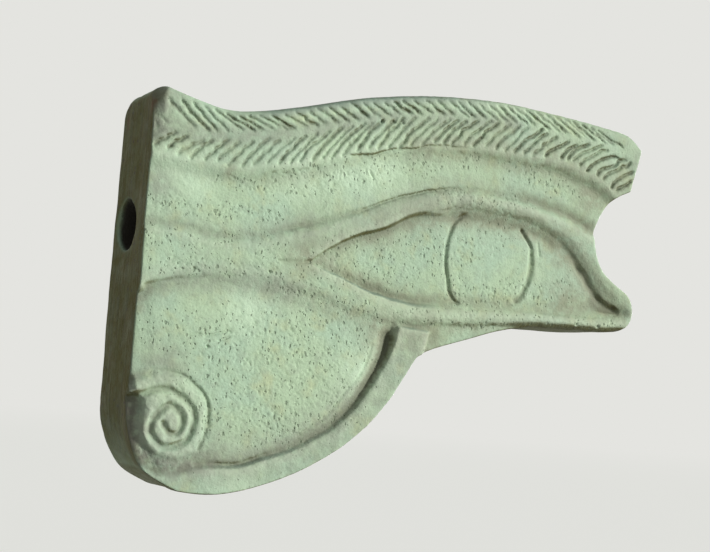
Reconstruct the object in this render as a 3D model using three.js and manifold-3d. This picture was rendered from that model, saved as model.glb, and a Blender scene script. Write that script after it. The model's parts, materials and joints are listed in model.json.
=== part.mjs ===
// Wedjat eye amulet: one piece of faience, shaped and carved while soft, pierced from end to end
// for a cord, glazed and fired. Millimetres, upright as it is worn: the carved front looks towards
// -Y, the tip of the brow points towards +X and +Z is up. The origin lies on the axis of the cord
// bore, halfway between the left end face and the farthest point on the right.
import * as THREE from 'three';
import { mergeVertices } from 'three/addons/utils/BufferGeometryUtils.js';
import Module from 'manifold-3d';

const wasm = await Module();
wasm.setup();

// The whole amulet.
const width = 70;
const height = 52.3;
const thickness = 11.4;
const edgeRounding = 1.2;

// The cord bore, an oval hole along the whole width.
const boreDepth = 6;
const boreHeight = 5.8;
const boreBelowTop = 21.4;
const boreFromBack = 4.2;

// Depths of the carving below the brow, and how far its walls flare.
const faceDepth = 0.45;
const faceFlare = 0.55;
const fieldDepth = 1.2;
const fieldFlare = 0.75;
const eyeDepth = 1.8;
const eyeFlare = 0.55;
const cheekDepth = 1.2;
const cheekFlare = 0.55;
const hollowDepth = 1.4;
const hollowFlare = 1;
const undercheekDepth = 1;
const undercheekFlare = 0.55;

// The gentle domes of the eyeball and the cheek: half their spread, how far they rise, and how
// far their tops stay below the brow.
const eyeballHalfWidth = 29;
const eyeballHalfHeight = 9.7;
const eyeballRise = 1.5;
const eyeballTopDepth = 0.85;
const cheekHalfWidth = 21.5;
const cheekHalfHeight = 14;
const cheekRise = 1.1;
const cheekTopDepth = 0.55;

// The rounded ridges of the lids and the cheek strip.
const upperLidWidth = 2.8;
const upperLidDepth = 0;
const lowerLidWidth = 2.2;
const lowerLidDepth = 0.1;
const stripWidth = 2.8;
const stripDepth = 0;

// The facet that wear has left on the upper corner of the left end.
const wornFacet = 2.8;

// Incised lines: the hairs of the brow, the iris, the spiral, the trough along the cheek strip.
const hairWidth = 0.6;
const hairDepth = 0.45;
const hairPitch = 1.67;
const hairLean = 2.6;
const browRidge = 1.3;
const irisLineWidth = 1;
const irisLineDepth = 0.5;
const spiralLineWidth = 0.8;
const spiralLineDepth = 0.55;
const spiralRadius = 4.2;
const spiralStep = 1.78;
const troughWidth = 2.05;
const troughDepth = 1.2;

// How far a cutter passes through the face that it cuts, how deep a ridge is rooted in the face,
// and the smallest detail that is kept.
const overrun = 2;
const root = 0.3;
const finestDetail = 0.005;

const left = -width / 2;
const bottom = boreBelowTop - height;
const back = boreFromBack;
const front = back - thickness;

// A point of the front given in shares of the width, from the left end face, and of the height,
// from the lowest edge.
function spot([acrossShare, upShare]) {
  return new THREE.Vector2(left + acrossShare * width, bottom + upShare * height);
}

// A smooth line through the given shares, cut into equal steps.
function smoothLine(shares, steps) {
  return new THREE.SplineCurve(shares.map(spot)).getSpacedPoints(steps);
}

// A closed geometry as a solid that can be joined and cut.
function solid(geometry) {
  geometry.deleteAttribute('normal');
  geometry.deleteAttribute('uv');
  const merged = mergeVertices(geometry);
  return new wasm.Manifold(new wasm.Mesh({
    numProp: 3,
    vertProperties: merged.attributes.position.array,
    triVerts: new Uint32Array(merged.index.array),
    tolerance: finestDetail,
  }));
}

// The whole blank: the outline from the back to the front, with both of its rims rounded over.
function blank(outline, rounding, rimSteps) {
  const geometry = new THREE.ExtrudeGeometry(new THREE.Shape(outline), {
    depth: back - front - 2 * rounding,
    bevelThickness: rounding,
    bevelSize: rounding,
    bevelOffset: -rounding,
    bevelSegments: rimSteps,
  });
  geometry.rotateX(Math.PI / 2);
  geometry.translate(0, back - rounding, 0);
  return solid(geometry);
}

// What is carved out of the front over a floor of the given outline, down to a given depth. The
// wall is hollowed like a gouge cut, and its upper rim stands back from the floor by the flare.
function carving(floor, depth, flare) {
  const geometry = new THREE.ExtrudeGeometry(new THREE.Shape(floor), {
    depth: overrun,
    bevelThickness: depth,
    bevelSize: flare,
    bevelSegments: 2,
  });
  geometry.rotateX(Math.PI / 2);
  geometry.translate(0, front, 0);
  return solid(geometry);
}

// A bar that follows a line on the front. Its section is a ring of corners, each one a distance
// to the side of the line and a place on Y, and it may change along the line.
function bar(line, sectionAt) {
  const corners = [];
  const last = line.length - 1;
  const quarterTurn = Math.PI / 2;
  line.forEach((point, index) => {
    const ahead = line[Math.min(index + 1, last)];
    const behind = line[Math.max(index - 1, 0)];
    const across = ahead.clone().sub(behind).normalize().rotateAround(new THREE.Vector2(), quarterTurn);
    sectionAt(index / last, point).forEach(([aside, depth]) => {
      corners.push(point.x + across.x * aside, depth, point.y + across.y * aside);
    });
  });
  const sides = corners.length / 3 / line.length;
  const faces = [];
  for (let ring = 0; ring < last; ring += 1) {
    for (let side = 0; side < sides; side += 1) {
      const here = ring * sides + side;
      const next = ring * sides + (side + 1) % sides;
      faces.push(here, here + sides, next, next, here + sides, next + sides);
    }
  }
  for (let side = 1; side < sides - 1; side += 1) {
    const end = last * sides;
    faces.push(0, side, side + 1, end, end + side + 1, end + side);
  }
  const geometry = new THREE.BufferGeometry();
  geometry.setAttribute('position', new THREE.Float32BufferAttribute(corners, 3));
  geometry.setIndex(faces);
  return solid(geometry);
}

// An incised line: a V cut to a given depth below the surface that it runs on.
function incision(line, lineWidth, lineDepth, surfaceAt) {
  return bar(line, (along, point) => {
    const surface = surfaceAt(point, along);
    const half = lineWidth / 2;
    return [
      [half, surface - overrun],
      [half, surface],
      [0, surface + lineDepth],
      [-half, surface],
      [-half, surface - overrun],
    ];
  });
}

// A rounded ridge that stands on the lowered face of the amulet and rises to the given depth.
function ridge(line, ridgeWidth, crestDepth) {
  const base = front + faceDepth + root;
  const crest = front + crestDepth;
  const arch = new THREE.EllipseCurve(0, base, ridgeWidth / 2, base - crest, Math.PI, 2 * Math.PI);
  const section = arch.getPoints(5).map((corner) => [corner.x, corner.y]);
  return bar(line, () => section);
}

// A low dome with its top at the given depth below the brow.
function lowDome(centre, halfWidth, halfHeight, rise, topDepth) {
  const geometry = new THREE.SphereGeometry(1, 28, 16);
  geometry.scale(halfWidth, rise, halfHeight);
  geometry.translate(centre.x, front + topDepth + rise, centre.y);
  return solid(geometry);
}

// Outline of the front, from the lower left corner round to the left end face.
const bottomShares = [[0.1, 0.005], [0.15, 0], [0.2, 0.008], [0.262, 0.032], [0.322, 0.065],
  [0.382, 0.112], [0.424, 0.155], [0.454, 0.195], [0.484, 0.246], [0.508, 0.298], [0.53, 0.346]];
const chinShares = [[0.53, 0.346], [0.57, 0.373], [0.64, 0.404], [0.7, 0.43], [0.77, 0.45],
  [0.868, 0.46], [0.933, 0.463], [0.975, 0.47]];
const noseShares = [[0.975, 0.47], [0.993, 0.49], [1, 0.515], [0.993, 0.54], [0.977, 0.559]];
const notchShares = [[0.977, 0.559], [0.944, 0.58], [0.916, 0.612], [0.9, 0.655], [0.897, 0.695],
  [0.905, 0.735], [0.92, 0.77], [0.943, 0.806], [0.974, 0.832]];
const topShares = [[0.99, 0.945], [0.957, 0.964], [0.9, 0.98], [0.78, 0.995], [0.68, 1], [0.59, 0.993],
  [0.5, 0.978], [0.39, 0.948], [0.273, 0.902], [0.2, 0.874], [0.14, 0.86], [0.08, 0.872], [0.02, 0.885]];
const cornerShares = [[0.02, 0.885], [0.006, 0.877], [0, 0.858]];
const heelShares = [[0, 0.2], [0.006, 0.14], [0.022, 0.085], [0.05, 0.038], [0.1, 0.005]];
const outline = [
  ...smoothLine(bottomShares, 24).slice(1),
  ...smoothLine(chinShares, 14).slice(1),
  ...smoothLine(noseShares, 6).slice(1),
  ...smoothLine(notchShares, 16).slice(1),
  ...smoothLine(topShares, 34),
  ...smoothLine(cornerShares, 2).slice(1),
  ...smoothLine(heelShares, 9),
];
let amulet = blank(outline, edgeRounding, 2);

// Below the foot of the brow the whole face is carved a little lower than the brow.
const browFootShares = [[0, 0.737], [0.06, 0.735], [0.15, 0.73], [0.204, 0.744], [0.268, 0.764],
  [0.368, 0.806], [0.438, 0.832], [0.504, 0.849], [0.595, 0.868], [0.7, 0.871], [0.8, 0.869],
  [0.861, 0.853], [0.908, 0.834], [0.945, 0.805]];
const pastEndShare = 0.05;
const browFootLine = [
  spot([-pastEndShare, browFootShares[0][1]]),
  ...smoothLine(browFootShares, 36),
];
const belowShares = [[1 + pastEndShare, 0.7], [1 + pastEndShare, -pastEndShare],
  [-pastEndShare, -pastEndShare]];
const faceOutline = [...browFootLine, ...belowShares.map(spot)];

// What is left standing of it: the ridges of the two lids, which meet on the left in one broad
// band, and of the cheek strip.
const upperCrestShares = [[0, 0.535], [0.12, 0.535], [0.22, 0.555], [0.3, 0.588], [0.36, 0.63],
  [0.44, 0.672], [0.52, 0.712], [0.59, 0.737], [0.65, 0.744], [0.711, 0.742], [0.767, 0.735],
  [0.822, 0.713], [0.861, 0.678], [0.891, 0.638], [0.926, 0.593], [0.975, 0.548]];
const lowerCrestShares = [[0, 0.49], [0.12, 0.505], [0.22, 0.515], [0.3, 0.508], [0.36, 0.489],
  [0.42, 0.467], [0.48, 0.449], [0.55, 0.445], [0.65, 0.457], [0.78, 0.468], [0.9, 0.474],
  [0.965, 0.485]];
const stripCrestShares = [[0.518, 0.41], [0.506, 0.36], [0.488, 0.31], [0.467, 0.26], [0.441, 0.212],
  [0.412, 0.171], [0.377, 0.133], [0.328, 0.092], [0.275, 0.06], [0.2, 0.038], [0.13, 0.032]];
const upperLid = ridge(smoothLine(upperCrestShares, 30), upperLidWidth, upperLidDepth);
const lowerLid = ridge(smoothLine(lowerCrestShares, 22), lowerLidWidth, lowerLidDepth);
const strip = ridge(smoothLine(stripCrestShares, 18), stripWidth, stripDepth);
const ridges = upperLid.add(lowerLid).add(strip);
amulet = amulet.subtract(carving(faceOutline, faceDepth, faceFlare).subtract(ridges));

// The field between the brow and the upper lid. It runs out at the left end and at the notch.
const lidTopShares = [[0.93, 0.69], [0.877, 0.722], [0.837, 0.741], [0.772, 0.758], [0.709, 0.767],
  [0.648, 0.772], [0.588, 0.767], [0.516, 0.745], [0.435, 0.706], [0.374, 0.668], [0.327, 0.643],
  [0.244, 0.602], [0.189, 0.582], [0.133, 0.575], [0.064, 0.587], [-pastEndShare, 0.59]];
const fieldOutline = [...browFootLine, ...smoothLine(lidTopShares, 36)];
amulet = amulet.subtract(carving(fieldOutline, fieldDepth, fieldFlare));

// The open eye, sunk between the lids, with the eyeball's dome standing in it.
const upperLidShares = [[0.256, 0.538], [0.3, 0.551], [0.332, 0.568], [0.361, 0.595], [0.408, 0.624],
  [0.457, 0.648], [0.52, 0.684], [0.573, 0.701], [0.615, 0.713], [0.666, 0.717], [0.728, 0.713],
  [0.763, 0.706], [0.798, 0.69], [0.841, 0.66], [0.87, 0.627], [0.894, 0.591], [0.923, 0.556],
  [0.978, 0.508]];
const lowerLidShares = [[0.978, 0.508], [0.948, 0.496], [0.883, 0.489], [0.787, 0.485], [0.694, 0.48],
  [0.605, 0.472], [0.533, 0.466], [0.48, 0.471], [0.447, 0.479], [0.416, 0.492], [0.377, 0.509],
  [0.342, 0.523], [0.314, 0.532], [0.256, 0.538]];
const eyeOutline = [...smoothLine(upperLidShares, 34), ...smoothLine(lowerLidShares, 26).slice(1, -1)];
const eyeCentre = spot([0.655, 0.59]);
const eyeball = lowDome(eyeCentre, eyeballHalfWidth, eyeballHalfHeight, eyeballRise, eyeballTopDepth);
amulet = amulet.subtract(carving(eyeOutline, eyeDepth, eyeFlare).subtract(eyeball));

// The iris, two bowed incised lines on the eyeball that run under the lids.
function eyeballAt(point) {
  const aside = (point.x - eyeCentre.x) / eyeballHalfWidth;
  const aloft = (point.y - eyeCentre.y) / eyeballHalfHeight;
  const fall = 1 - Math.sqrt(Math.max(0, 1 - aside * aside - aloft * aloft));
  return Math.min(front + eyeballTopDepth + eyeballRise * fall, front + eyeDepth);
}
const irisLeftShares = [[0.606, 0.475], [0.582, 0.51], [0.57, 0.549], [0.568, 0.593], [0.575, 0.636],
  [0.587, 0.673], [0.618, 0.716]];
const irisRightShares = [[0.715, 0.48], [0.741, 0.531], [0.751, 0.568], [0.753, 0.61], [0.75, 0.645],
  [0.735, 0.673], [0.695, 0.7]];
for (const shares of [irisLeftShares, irisRightShares]) {
  amulet = amulet.subtract(incision(smoothLine(shares, 12), irisLineWidth, irisLineDepth, eyeballAt));
}

// The cheek, a shallow sunk panel between the lower lid, the cheek strip and the spiral.
const underLidShares = [[-pastEndShare, 0.445], [0.048, 0.456], [0.102, 0.463], [0.157, 0.474],
  [0.209, 0.478], [0.272, 0.473], [0.331, 0.458], [0.381, 0.44], [0.43, 0.425], [0.482, 0.418]];
const stripInnerShares = [[0.486, 0.405], [0.48, 0.372], [0.466, 0.322], [0.449, 0.276], [0.426, 0.23],
  [0.4, 0.19], [0.37, 0.154], [0.334, 0.12], [0.289, 0.09], [0.24, 0.073], [0.17, 0.062]];
const spiralOuterShares = [[0.13, 0.094], [0.14, 0.122], [0.146, 0.155], [0.145, 0.18], [0.139, 0.21],
  [0.128, 0.23], [0.11, 0.248], [0.085, 0.266], [0.06, 0.271], [-pastEndShare, 0.268]];
const cheekOutline = [
  ...smoothLine(underLidShares, 20),
  ...smoothLine(stripInnerShares, 22),
  ...smoothLine(spiralOuterShares, 16),
];
const cheekCentre = spot([0.24, 0.28]);
const cheek = lowDome(cheekCentre, cheekHalfWidth, cheekHalfHeight, cheekRise, cheekTopDepth);
amulet = amulet.subtract(carving(cheekOutline, cheekDepth, cheekFlare).subtract(cheek));

// The trough that sets the cheek off from its strip, deep on the right and fading to the left.
const troughShares = [[0.478, 0.4], [0.47, 0.355], [0.456, 0.316], [0.437, 0.271], [0.411, 0.222],
  [0.38, 0.178], [0.345, 0.143], [0.303, 0.112], [0.259, 0.088], [0.2, 0.076]];
const troughFadeShare = 0.6;
const troughLine = smoothLine(troughShares, 24);
amulet = amulet.subtract(incision(troughLine, troughWidth, troughDepth, (point, along) => (
  front + cheekDepth - along * troughFadeShare * troughDepth
)));

// The recess between the cheek strip and the lower lid, open at the lower edge.
const undercheekShares = [[0.484, 0.425], [0.55, 0.423], [0.62, 0.43], [0.68, 0.438], [0.74, 0.445],
  [0.77, 0.42], [0.7, 0.3], [0.57, 0.28], [0.535, 0.345], [0.554, 0.41], [0.487, 0.412]];
amulet = amulet.subtract(carving(undercheekShares.map(spot), undercheekDepth, undercheekFlare));

// The hollow to the left of the spiral and below it.
const hollowShares = [[-pastEndShare, 0.225], [0.03, 0.216], [0.041, 0.18], [0.04, 0.14], [0.052, 0.105],
  [0.08, 0.083], [0.13, 0.08], [0.17, 0.068], [0.11, 0.052], [0.07, 0.052], [0.036, 0.075],
  [0.02, 0.11], [-pastEndShare, 0.14]];
amulet = amulet.subtract(carving(hollowShares.map(spot), hollowDepth, hollowFlare));

// The spiral, wound inwards clockwise from the upper left.
const spiralCentre = spot([0.079, 0.158]);
const spiralSqueezeShare = 0.78;
const spiralTurns = 1.95;
const spiralStartTurn = -0.16;
const spiralLine = [];
const spiralPoints = 56;
for (let index = 0; index <= spiralPoints; index += 1) {
  const turn = spiralStartTurn + (spiralTurns - spiralStartTurn) * index / spiralPoints;
  const radius = spiralRadius - spiralStep * turn;
  const angle = Math.PI / 2 - turn * 2 * Math.PI;
  spiralLine.push(new THREE.Vector2(
    spiralCentre.x + spiralSqueezeShare * radius * Math.cos(angle),
    spiralCentre.y + radius * Math.sin(angle),
  ));
}
const face = front + faceDepth;
amulet = amulet.subtract(incision(spiralLine, spiralLineWidth, spiralLineDepth, () => face));

// The hairs of the brow, a herringbone of two rows that point to the right on either side of a
// plain ridge.
const browRimShares = [[0.028, 0.858], [0.083, 0.858], [0.139, 0.845], [0.171, 0.85], [0.235, 0.872],
  [0.287, 0.892], [0.339, 0.914], [0.407, 0.939], [0.5, 0.962], [0.6, 0.979], [0.7, 0.985],
  [0.8, 0.978], [0.9, 0.963], [0.965, 0.945]];
const browRidgeShares = [[0.02, 0.803], [0.087, 0.797], [0.187, 0.811], [0.249, 0.826], [0.369, 0.876],
  [0.5, 0.921], [0.591, 0.941], [0.659, 0.948], [0.765, 0.944], [0.875, 0.93], [0.95, 0.905]];
const browRim = new THREE.SplineCurve(browRimShares.map(spot));
const browRidgeLine = new THREE.SplineCurve(browRidgeShares.map(spot));
const browFoot = new THREE.SplineCurve(browFootShares.map(spot));
const browLength = browRidgeLine.getLength();
const hairCount = Math.floor((browLength - hairLean) / hairPitch);
const halfRidge = new THREE.Vector2(0, browRidge / 2);
for (let index = 0; index <= hairCount; index += 1) {
  const rootShare = index * hairPitch / browLength;
  const tip = browRidgeLine.getPointAt(rootShare + hairLean / browLength);
  const upperHair = [browRim.getPointAt(rootShare), tip.clone().add(halfRidge)];
  const lowerHair = [browFoot.getPointAt(rootShare), tip.clone().sub(halfRidge)];
  for (const hair of [upperHair, lowerHair]) {
    amulet = amulet.subtract(incision(hair, hairWidth, hairDepth, () => front));
  }
}

// The worn facet, a slanting cut across the front corner at the upper end of the left end face.
const facetFace = new THREE.Vector3(-1, -1, 1).normalize();
const facetReach = wornFacet * facetFace.z;
const facet = new THREE.BoxGeometry(2 * wornFacet, 2 * wornFacet, 2 * wornFacet);
facet.applyQuaternion(new THREE.Quaternion().setFromUnitVectors(THREE.Object3D.DEFAULT_UP, facetFace));
const upperCorner = new THREE.Vector3(left, front, spot(cornerShares[0]).y);
const facetPlace = upperCorner.addScaledVector(facetFace, wornFacet - facetReach);
facet.translate(facetPlace.x, facetPlace.y, facetPlace.z);
amulet = amulet.subtract(solid(facet));

// The cord bore, from the left end face to the notch on the right.
const boreLength = width + 2 * overrun;
const bore = new THREE.CylinderGeometry(1, 1, boreLength, 24);
bore.rotateZ(Math.PI / 2);
bore.scale(1, boreDepth / 2, boreHeight / 2);
amulet = amulet.subtract(solid(bore));

// The finished body, with its finish.
const body = amulet.getMesh();
const geometry = new THREE.BufferGeometry();
geometry.setAttribute('position', new THREE.BufferAttribute(body.vertProperties, 3));
geometry.setIndex(new THREE.BufferAttribute(body.triVerts, 1));
geometry.computeVertexNormals();
const faience = new THREE.MeshStandardMaterial({ color: 0xb4c6aa, roughness: 0.75, metalness: 0 });
const amuletBody = new THREE.Mesh(geometry, faience);
amuletBody.name = 'amulet_body';

const wedjatAmulet = new THREE.Group();
wedjatAmulet.add(amuletBody);
console.log(`triangles ${amulet.numTri()}, volume ${amulet.volume().toFixed(1)} cubic mm`);

export default wedjatAmulet;
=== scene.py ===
# %% [markdown]
# # A wedjat eye amulet of faience
# The real amulet is one lump of quartz paste. It was pressed and carved while soft, pierced from
# end to end for a cord, glazed and fired. So there is one piece to make here, and all the work
# goes into its relief and its weathered surface.
# The frame comes first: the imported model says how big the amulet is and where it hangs.

import json
import math

import bpy
import numpy as np
from mathutils import Matrix, Vector, noise

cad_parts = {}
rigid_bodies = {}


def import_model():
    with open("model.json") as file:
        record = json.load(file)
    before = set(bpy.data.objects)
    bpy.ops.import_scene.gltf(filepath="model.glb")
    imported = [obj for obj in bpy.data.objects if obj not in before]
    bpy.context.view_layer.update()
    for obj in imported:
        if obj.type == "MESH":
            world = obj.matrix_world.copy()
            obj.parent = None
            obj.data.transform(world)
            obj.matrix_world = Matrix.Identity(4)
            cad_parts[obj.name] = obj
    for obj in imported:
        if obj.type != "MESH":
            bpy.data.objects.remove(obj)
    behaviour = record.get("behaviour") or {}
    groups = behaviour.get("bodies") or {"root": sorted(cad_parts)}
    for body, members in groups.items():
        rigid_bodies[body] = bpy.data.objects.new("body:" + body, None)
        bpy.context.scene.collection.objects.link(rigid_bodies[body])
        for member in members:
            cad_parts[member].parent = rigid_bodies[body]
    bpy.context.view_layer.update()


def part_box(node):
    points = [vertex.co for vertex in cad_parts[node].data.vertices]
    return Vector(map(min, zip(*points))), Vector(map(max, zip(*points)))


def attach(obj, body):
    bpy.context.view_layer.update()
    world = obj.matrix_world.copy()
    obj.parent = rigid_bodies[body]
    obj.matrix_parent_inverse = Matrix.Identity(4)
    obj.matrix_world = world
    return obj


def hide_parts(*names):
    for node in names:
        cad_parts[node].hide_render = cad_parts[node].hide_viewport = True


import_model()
MM = 0.001
low, high = (np.array(corner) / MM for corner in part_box("amulet_body"))
left, front, bottom = low
right, back, top = high
print("amulet in millimetres, low and high corner:", low.round(2), high.round(2))

# %% [markdown]
# ## The camera
# The amulet was photographed from its left and from a little below, and it leans clockwise in the
# picture. The lens is a long one, so the sides run nearly parallel. The place of the camera is
# worked out from those angles and the point that it looks at.

# %% Camera
CAMERA_TURN = math.radians(26)
CAMERA_BELOW = math.radians(5.3)
CAMERA_LEAN = math.radians(4.2)
CAMERA_DISTANCE = 175.4
FOCAL_PIXELS = 1380
IMAGE_WIDTH_PIXELS = 710
AIM_SHARES = Vector((0.4327, 0.533))
AIM_BEHIND_FRONT = 5.7
away = Vector((
    -math.sin(CAMERA_TURN) * math.cos(CAMERA_BELOW),
    -math.cos(CAMERA_TURN) * math.cos(CAMERA_BELOW),
    -math.sin(CAMERA_BELOW),
))
aim = Vector((
    left + AIM_SHARES.x * (right - left),
    front + AIM_BEHIND_FRONT,
    bottom + AIM_SHARES.y * (top - bottom),
))
level_right = (-away).cross(Vector((0, 0, 1))).normalized()
level_up = level_right.cross(-away)
camera_right = math.cos(CAMERA_LEAN) * level_right + math.sin(CAMERA_LEAN) * level_up
camera_up = math.cos(CAMERA_LEAN) * level_up - math.sin(CAMERA_LEAN) * level_right
bpy.ops.object.camera_add()
camera = bpy.context.object
camera.name = "camera"
camera.data.sensor_fit = "HORIZONTAL"
camera.data.lens = FOCAL_PIXELS / IMAGE_WIDTH_PIXELS * camera.data.sensor_width
camera.data.clip_start = 10 * MM
axes = Matrix((camera_right, camera_up, away)).transposed().to_4x4()
camera.matrix_world = Matrix.Translation((aim + away * CAMERA_DISTANCE) * MM) @ axes
bpy.context.scene.camera = camera
bpy.context.scene.view_settings.view_transform = "Standard"
print("camera at", [round(place / MM, 1) for place in camera.location])

# %% [markdown]
# ## Drawing lines on the front
# All the carving follows lines on the front. A line is a list of places in shares of the amulet's
# width and height, counted from its lower left corner. A smooth curve goes through them, as a hand
# would draw it. For each place on the front, two measures then say all that the carving needs: how
# far away a line is, and whether the place is inside a closed one.

# %% Lines and distances
corner = np.array([left, bottom])
size = np.array([right - left, top - bottom])


def smooth_line(shares, spacing=0.5):
    """Places in millimetres (across, up), evenly spaced on a smooth line through the shares."""
    knots = corner + np.array(shares) * size
    padded = np.vstack([knots[:1], knots, knots[-1:]])
    share = np.linspace(0, 1, 12, endpoint=False)[:, None]
    runs = []
    for before, start, end, after in zip(padded, padded[1:], padded[2:], padded[3:]):
        curve = 2 * start + (end - before) * share
        curve = curve + (2 * before - 5 * start + 4 * end - after) * share ** 2
        curve = curve + (3 * start - before - 3 * end + after) * share ** 3
        runs.append(curve / 2)
    dense = np.vstack(runs + [knots[-1:]])
    steps = np.linalg.norm(np.diff(dense, axis=0), axis=1)
    reached = np.concatenate([[0], np.cumsum(steps)])
    places = np.linspace(0, reached[-1], max(2, round(reached[-1] / spacing)) + 1)
    return np.column_stack([np.interp(places, reached, dense[:, axis]) for axis in (0, 1)])


def near(line, spots, reach=1000.0):
    """For each spot: its distance to the line, its side (+1 on the left) and its share along it."""
    distance = np.full(len(spots), float(reach))
    side = np.ones(len(spots))
    along = np.zeros(len(spots))
    inside = np.all((spots > line.min(axis=0) - reach) & (spots < line.max(axis=0) + reach), axis=1)
    start = line[:-1]
    step = line[1:] - start
    squared = (step ** 2).sum(axis=1)
    for chunk in np.array_split(np.flatnonzero(inside), max(1, inside.sum() // 3000)):
        offset = spots[chunk][:, None] - start
        share = np.clip((offset * step).sum(axis=2) / squared, 0, 1)
        gap = np.linalg.norm(offset - share[..., None] * step, axis=2)
        best = gap.argmin(axis=1)
        row = np.arange(len(chunk))
        distance[chunk] = np.minimum(gap[row, best], reach)
        cross = step[best, 0] * offset[row, best, 1] - step[best, 1] * offset[row, best, 0]
        side[chunk] = np.where(cross < 0, -1, 1)
        along[chunk] = (best + share[row, best]) / len(step)
    return distance, side, along


def inside_by(loop, spots, reach=6.0):
    """How far each spot lies inside a closed loop, in millimetres, and below zero outside it."""
    closed = np.vstack([loop, loop[:1]])
    distance, _, _ = near(closed, spots, reach)
    crossings = np.zeros(len(spots), dtype=int)
    for (x0, z0), (x1, z1) in zip(closed[:-1], closed[1:]):
        spans = (z0 > spots[:, 1]) != (z1 > spots[:, 1])
        if z0 != z1:
            meets = x0 + (spots[:, 1] - z0) * (x1 - x0) / (z1 - z0)
            crossings += spans & (spots[:, 0] < meets)
    return np.where(crossings % 2 == 1, distance, -distance)


def rise(value, start, end):
    """0 up to start, 1 from end on, and a soft S between them."""
    share = np.clip((value - start) / (end - start), 0, 1)
    return share * share * (3 - 2 * share)


def fall(value, start, end):
    """1 up to start, 0 from end on, and a soft S between them."""
    return 1 - rise(value, start, end)


print("front:", size.round(1), "mm")

# %% [markdown]
# ## The blank
# The maker pressed a flat cake of paste and cut its outline. The same is done here: a circle of
# points is laid on the outline, filled and extruded to the thickness. Slanting planes cut off the
# upper corners of the left end, which wear has taken away.

# %% Outline
OUTLINE_SHARES = [
    [[0.1, 0.005], [0.15, 0], [0.2, 0.008], [0.262, 0.032], [0.322, 0.065], [0.382, 0.112],
     [0.424, 0.155], [0.454, 0.195], [0.484, 0.246], [0.508, 0.298], [0.53, 0.346]],
    [[0.53, 0.346], [0.57, 0.371], [0.64, 0.402], [0.7, 0.428], [0.77, 0.446], [0.868, 0.452],
     [0.933, 0.454], [0.975, 0.46]],
    [[0.975, 0.46], [0.994, 0.483], [1, 0.512], [0.996, 0.54], [0.98, 0.562]],
    [[0.98, 0.562], [0.95, 0.584], [0.922, 0.614], [0.907, 0.655], [0.904, 0.695], [0.91, 0.735],
     [0.924, 0.77], [0.946, 0.804], [0.978, 0.826]],
    [[0.978, 0.826], [1, 0.94]],
    [[1, 0.94], [0.966, 0.972], [0.9, 0.984], [0.78, 0.995], [0.68, 1], [0.59, 0.993],
     [0.5, 0.978], [0.39, 0.948], [0.273, 0.902], [0.2, 0.876], [0.14, 0.864], [0.08, 0.876],
     [0.022, 0.897]],
    [[0.022, 0.897], [0.008, 0.891], [0, 0.876]],
    [[0, 0.876], [0, 0.2]],
    [[0, 0.2], [0.006, 0.14], [0.022, 0.085], [0.05, 0.038], [0.1, 0.005]],
]
outline = np.vstack([smooth_line(run)[:-1] for run in OUTLINE_SHARES])


def active(name):
    """Names the newest object and gives it back."""
    bpy.context.object.name = name
    return bpy.context.object


def thicken(move):
    """Extrudes the newest flat sheet by a move in millimetres, with all its normals outwards."""
    bpy.ops.object.mode_set(mode="EDIT")
    bpy.ops.mesh.select_all(action="SELECT")
    way = {"value": tuple(part * MM for part in move)}
    bpy.ops.mesh.extrude_region_move(TRANSFORM_OT_translate=way)
    bpy.ops.mesh.select_all(action="SELECT")
    bpy.ops.mesh.normals_make_consistent(inside=False)
    bpy.ops.object.mode_set(mode="OBJECT")


CORNER_UP_SHARE = 0.9
WORN_CORNERS = {front: 1.3, back: 1.5}
bpy.ops.object.select_all(action="DESELECT")
bpy.ops.mesh.primitive_circle_add(vertices=len(outline), radius=1, fill_type="NGON")
body = active("amulet")
for vertex, (across, up) in zip(body.data.vertices, outline):
    vertex.co = Vector((across, front, up)) * MM
thicken((0, back - front, 0))
bpy.ops.object.mode_set(mode="EDIT")
for face, worn in WORN_CORNERS.items():
    outwards = Vector((-1, -1 if face == front else 1, 1)).normalized()
    plane_place = Vector((left, face, bottom + CORNER_UP_SHARE * size[1])) - outwards * worn
    bpy.ops.mesh.select_all(action="SELECT")
    bpy.ops.mesh.bisect(
        plane_co=plane_place * MM, plane_no=outwards, clear_outer=True, use_fill=True)
bpy.ops.object.mode_set(mode="OBJECT")
print("blank:", len(outline), "points on the outline")

# %% [markdown]
# ## The bore
# A stick was pushed through the soft paste, or a hole was drilled, from one end to the other. The
# mouth in the left end is a pointed oval, worn wider by the cord. A cylinder is laid along the
# bore, its left end is shaped, and it is subtracted from the blank.

# %% Bore
BORE_DEPTH = 6
BORE_HEIGHT = 5.8
BORE_SIDES = 48
PAST_END = 3
MOUTH_REACH = 1.2
MOUTH_LIP = 0.2
MOUTH_FLARE = 1.1
MOUTH_POINT = 0.35
MOUTH_LEAN = 0.18
MOUTH_TALLER = 1.06
bpy.ops.object.select_all(action="DESELECT")
bore_length = right - left + 2 * PAST_END
bpy.ops.mesh.primitive_cylinder_add(
    vertices=BORE_SIDES, radius=1, depth=bore_length * MM, rotation=(0, math.pi / 2, 0),
    location=((left + right) / 2 * MM, 0, 0))
bore = active("bore_cutter")
bpy.ops.object.transform_apply(location=True, rotation=True, scale=True)
bpy.ops.object.mode_set(mode="EDIT")
for past_left in (MOUTH_REACH, -MOUTH_LIP):
    bpy.ops.mesh.select_all(action="SELECT")
    bpy.ops.mesh.bisect(plane_co=((left + past_left) * MM, 0, 0), plane_no=(1, 0, 0))
bpy.ops.object.mode_set(mode="OBJECT")
for vertex in bore.data.vertices:
    deep = vertex.co.y * BORE_DEPTH / 2
    up = vertex.co.z * BORE_HEIGHT / 2
    if vertex.co.x / MM < left + MOUTH_REACH / 2:
        pointed = MOUTH_FLARE - MOUTH_POINT * abs(vertex.co.z) ** 2
        deep = deep * pointed + MOUTH_LEAN * up
        up = up * MOUTH_TALLER
    vertex.co.y = deep * MM
    vertex.co.z = up * MM
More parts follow.
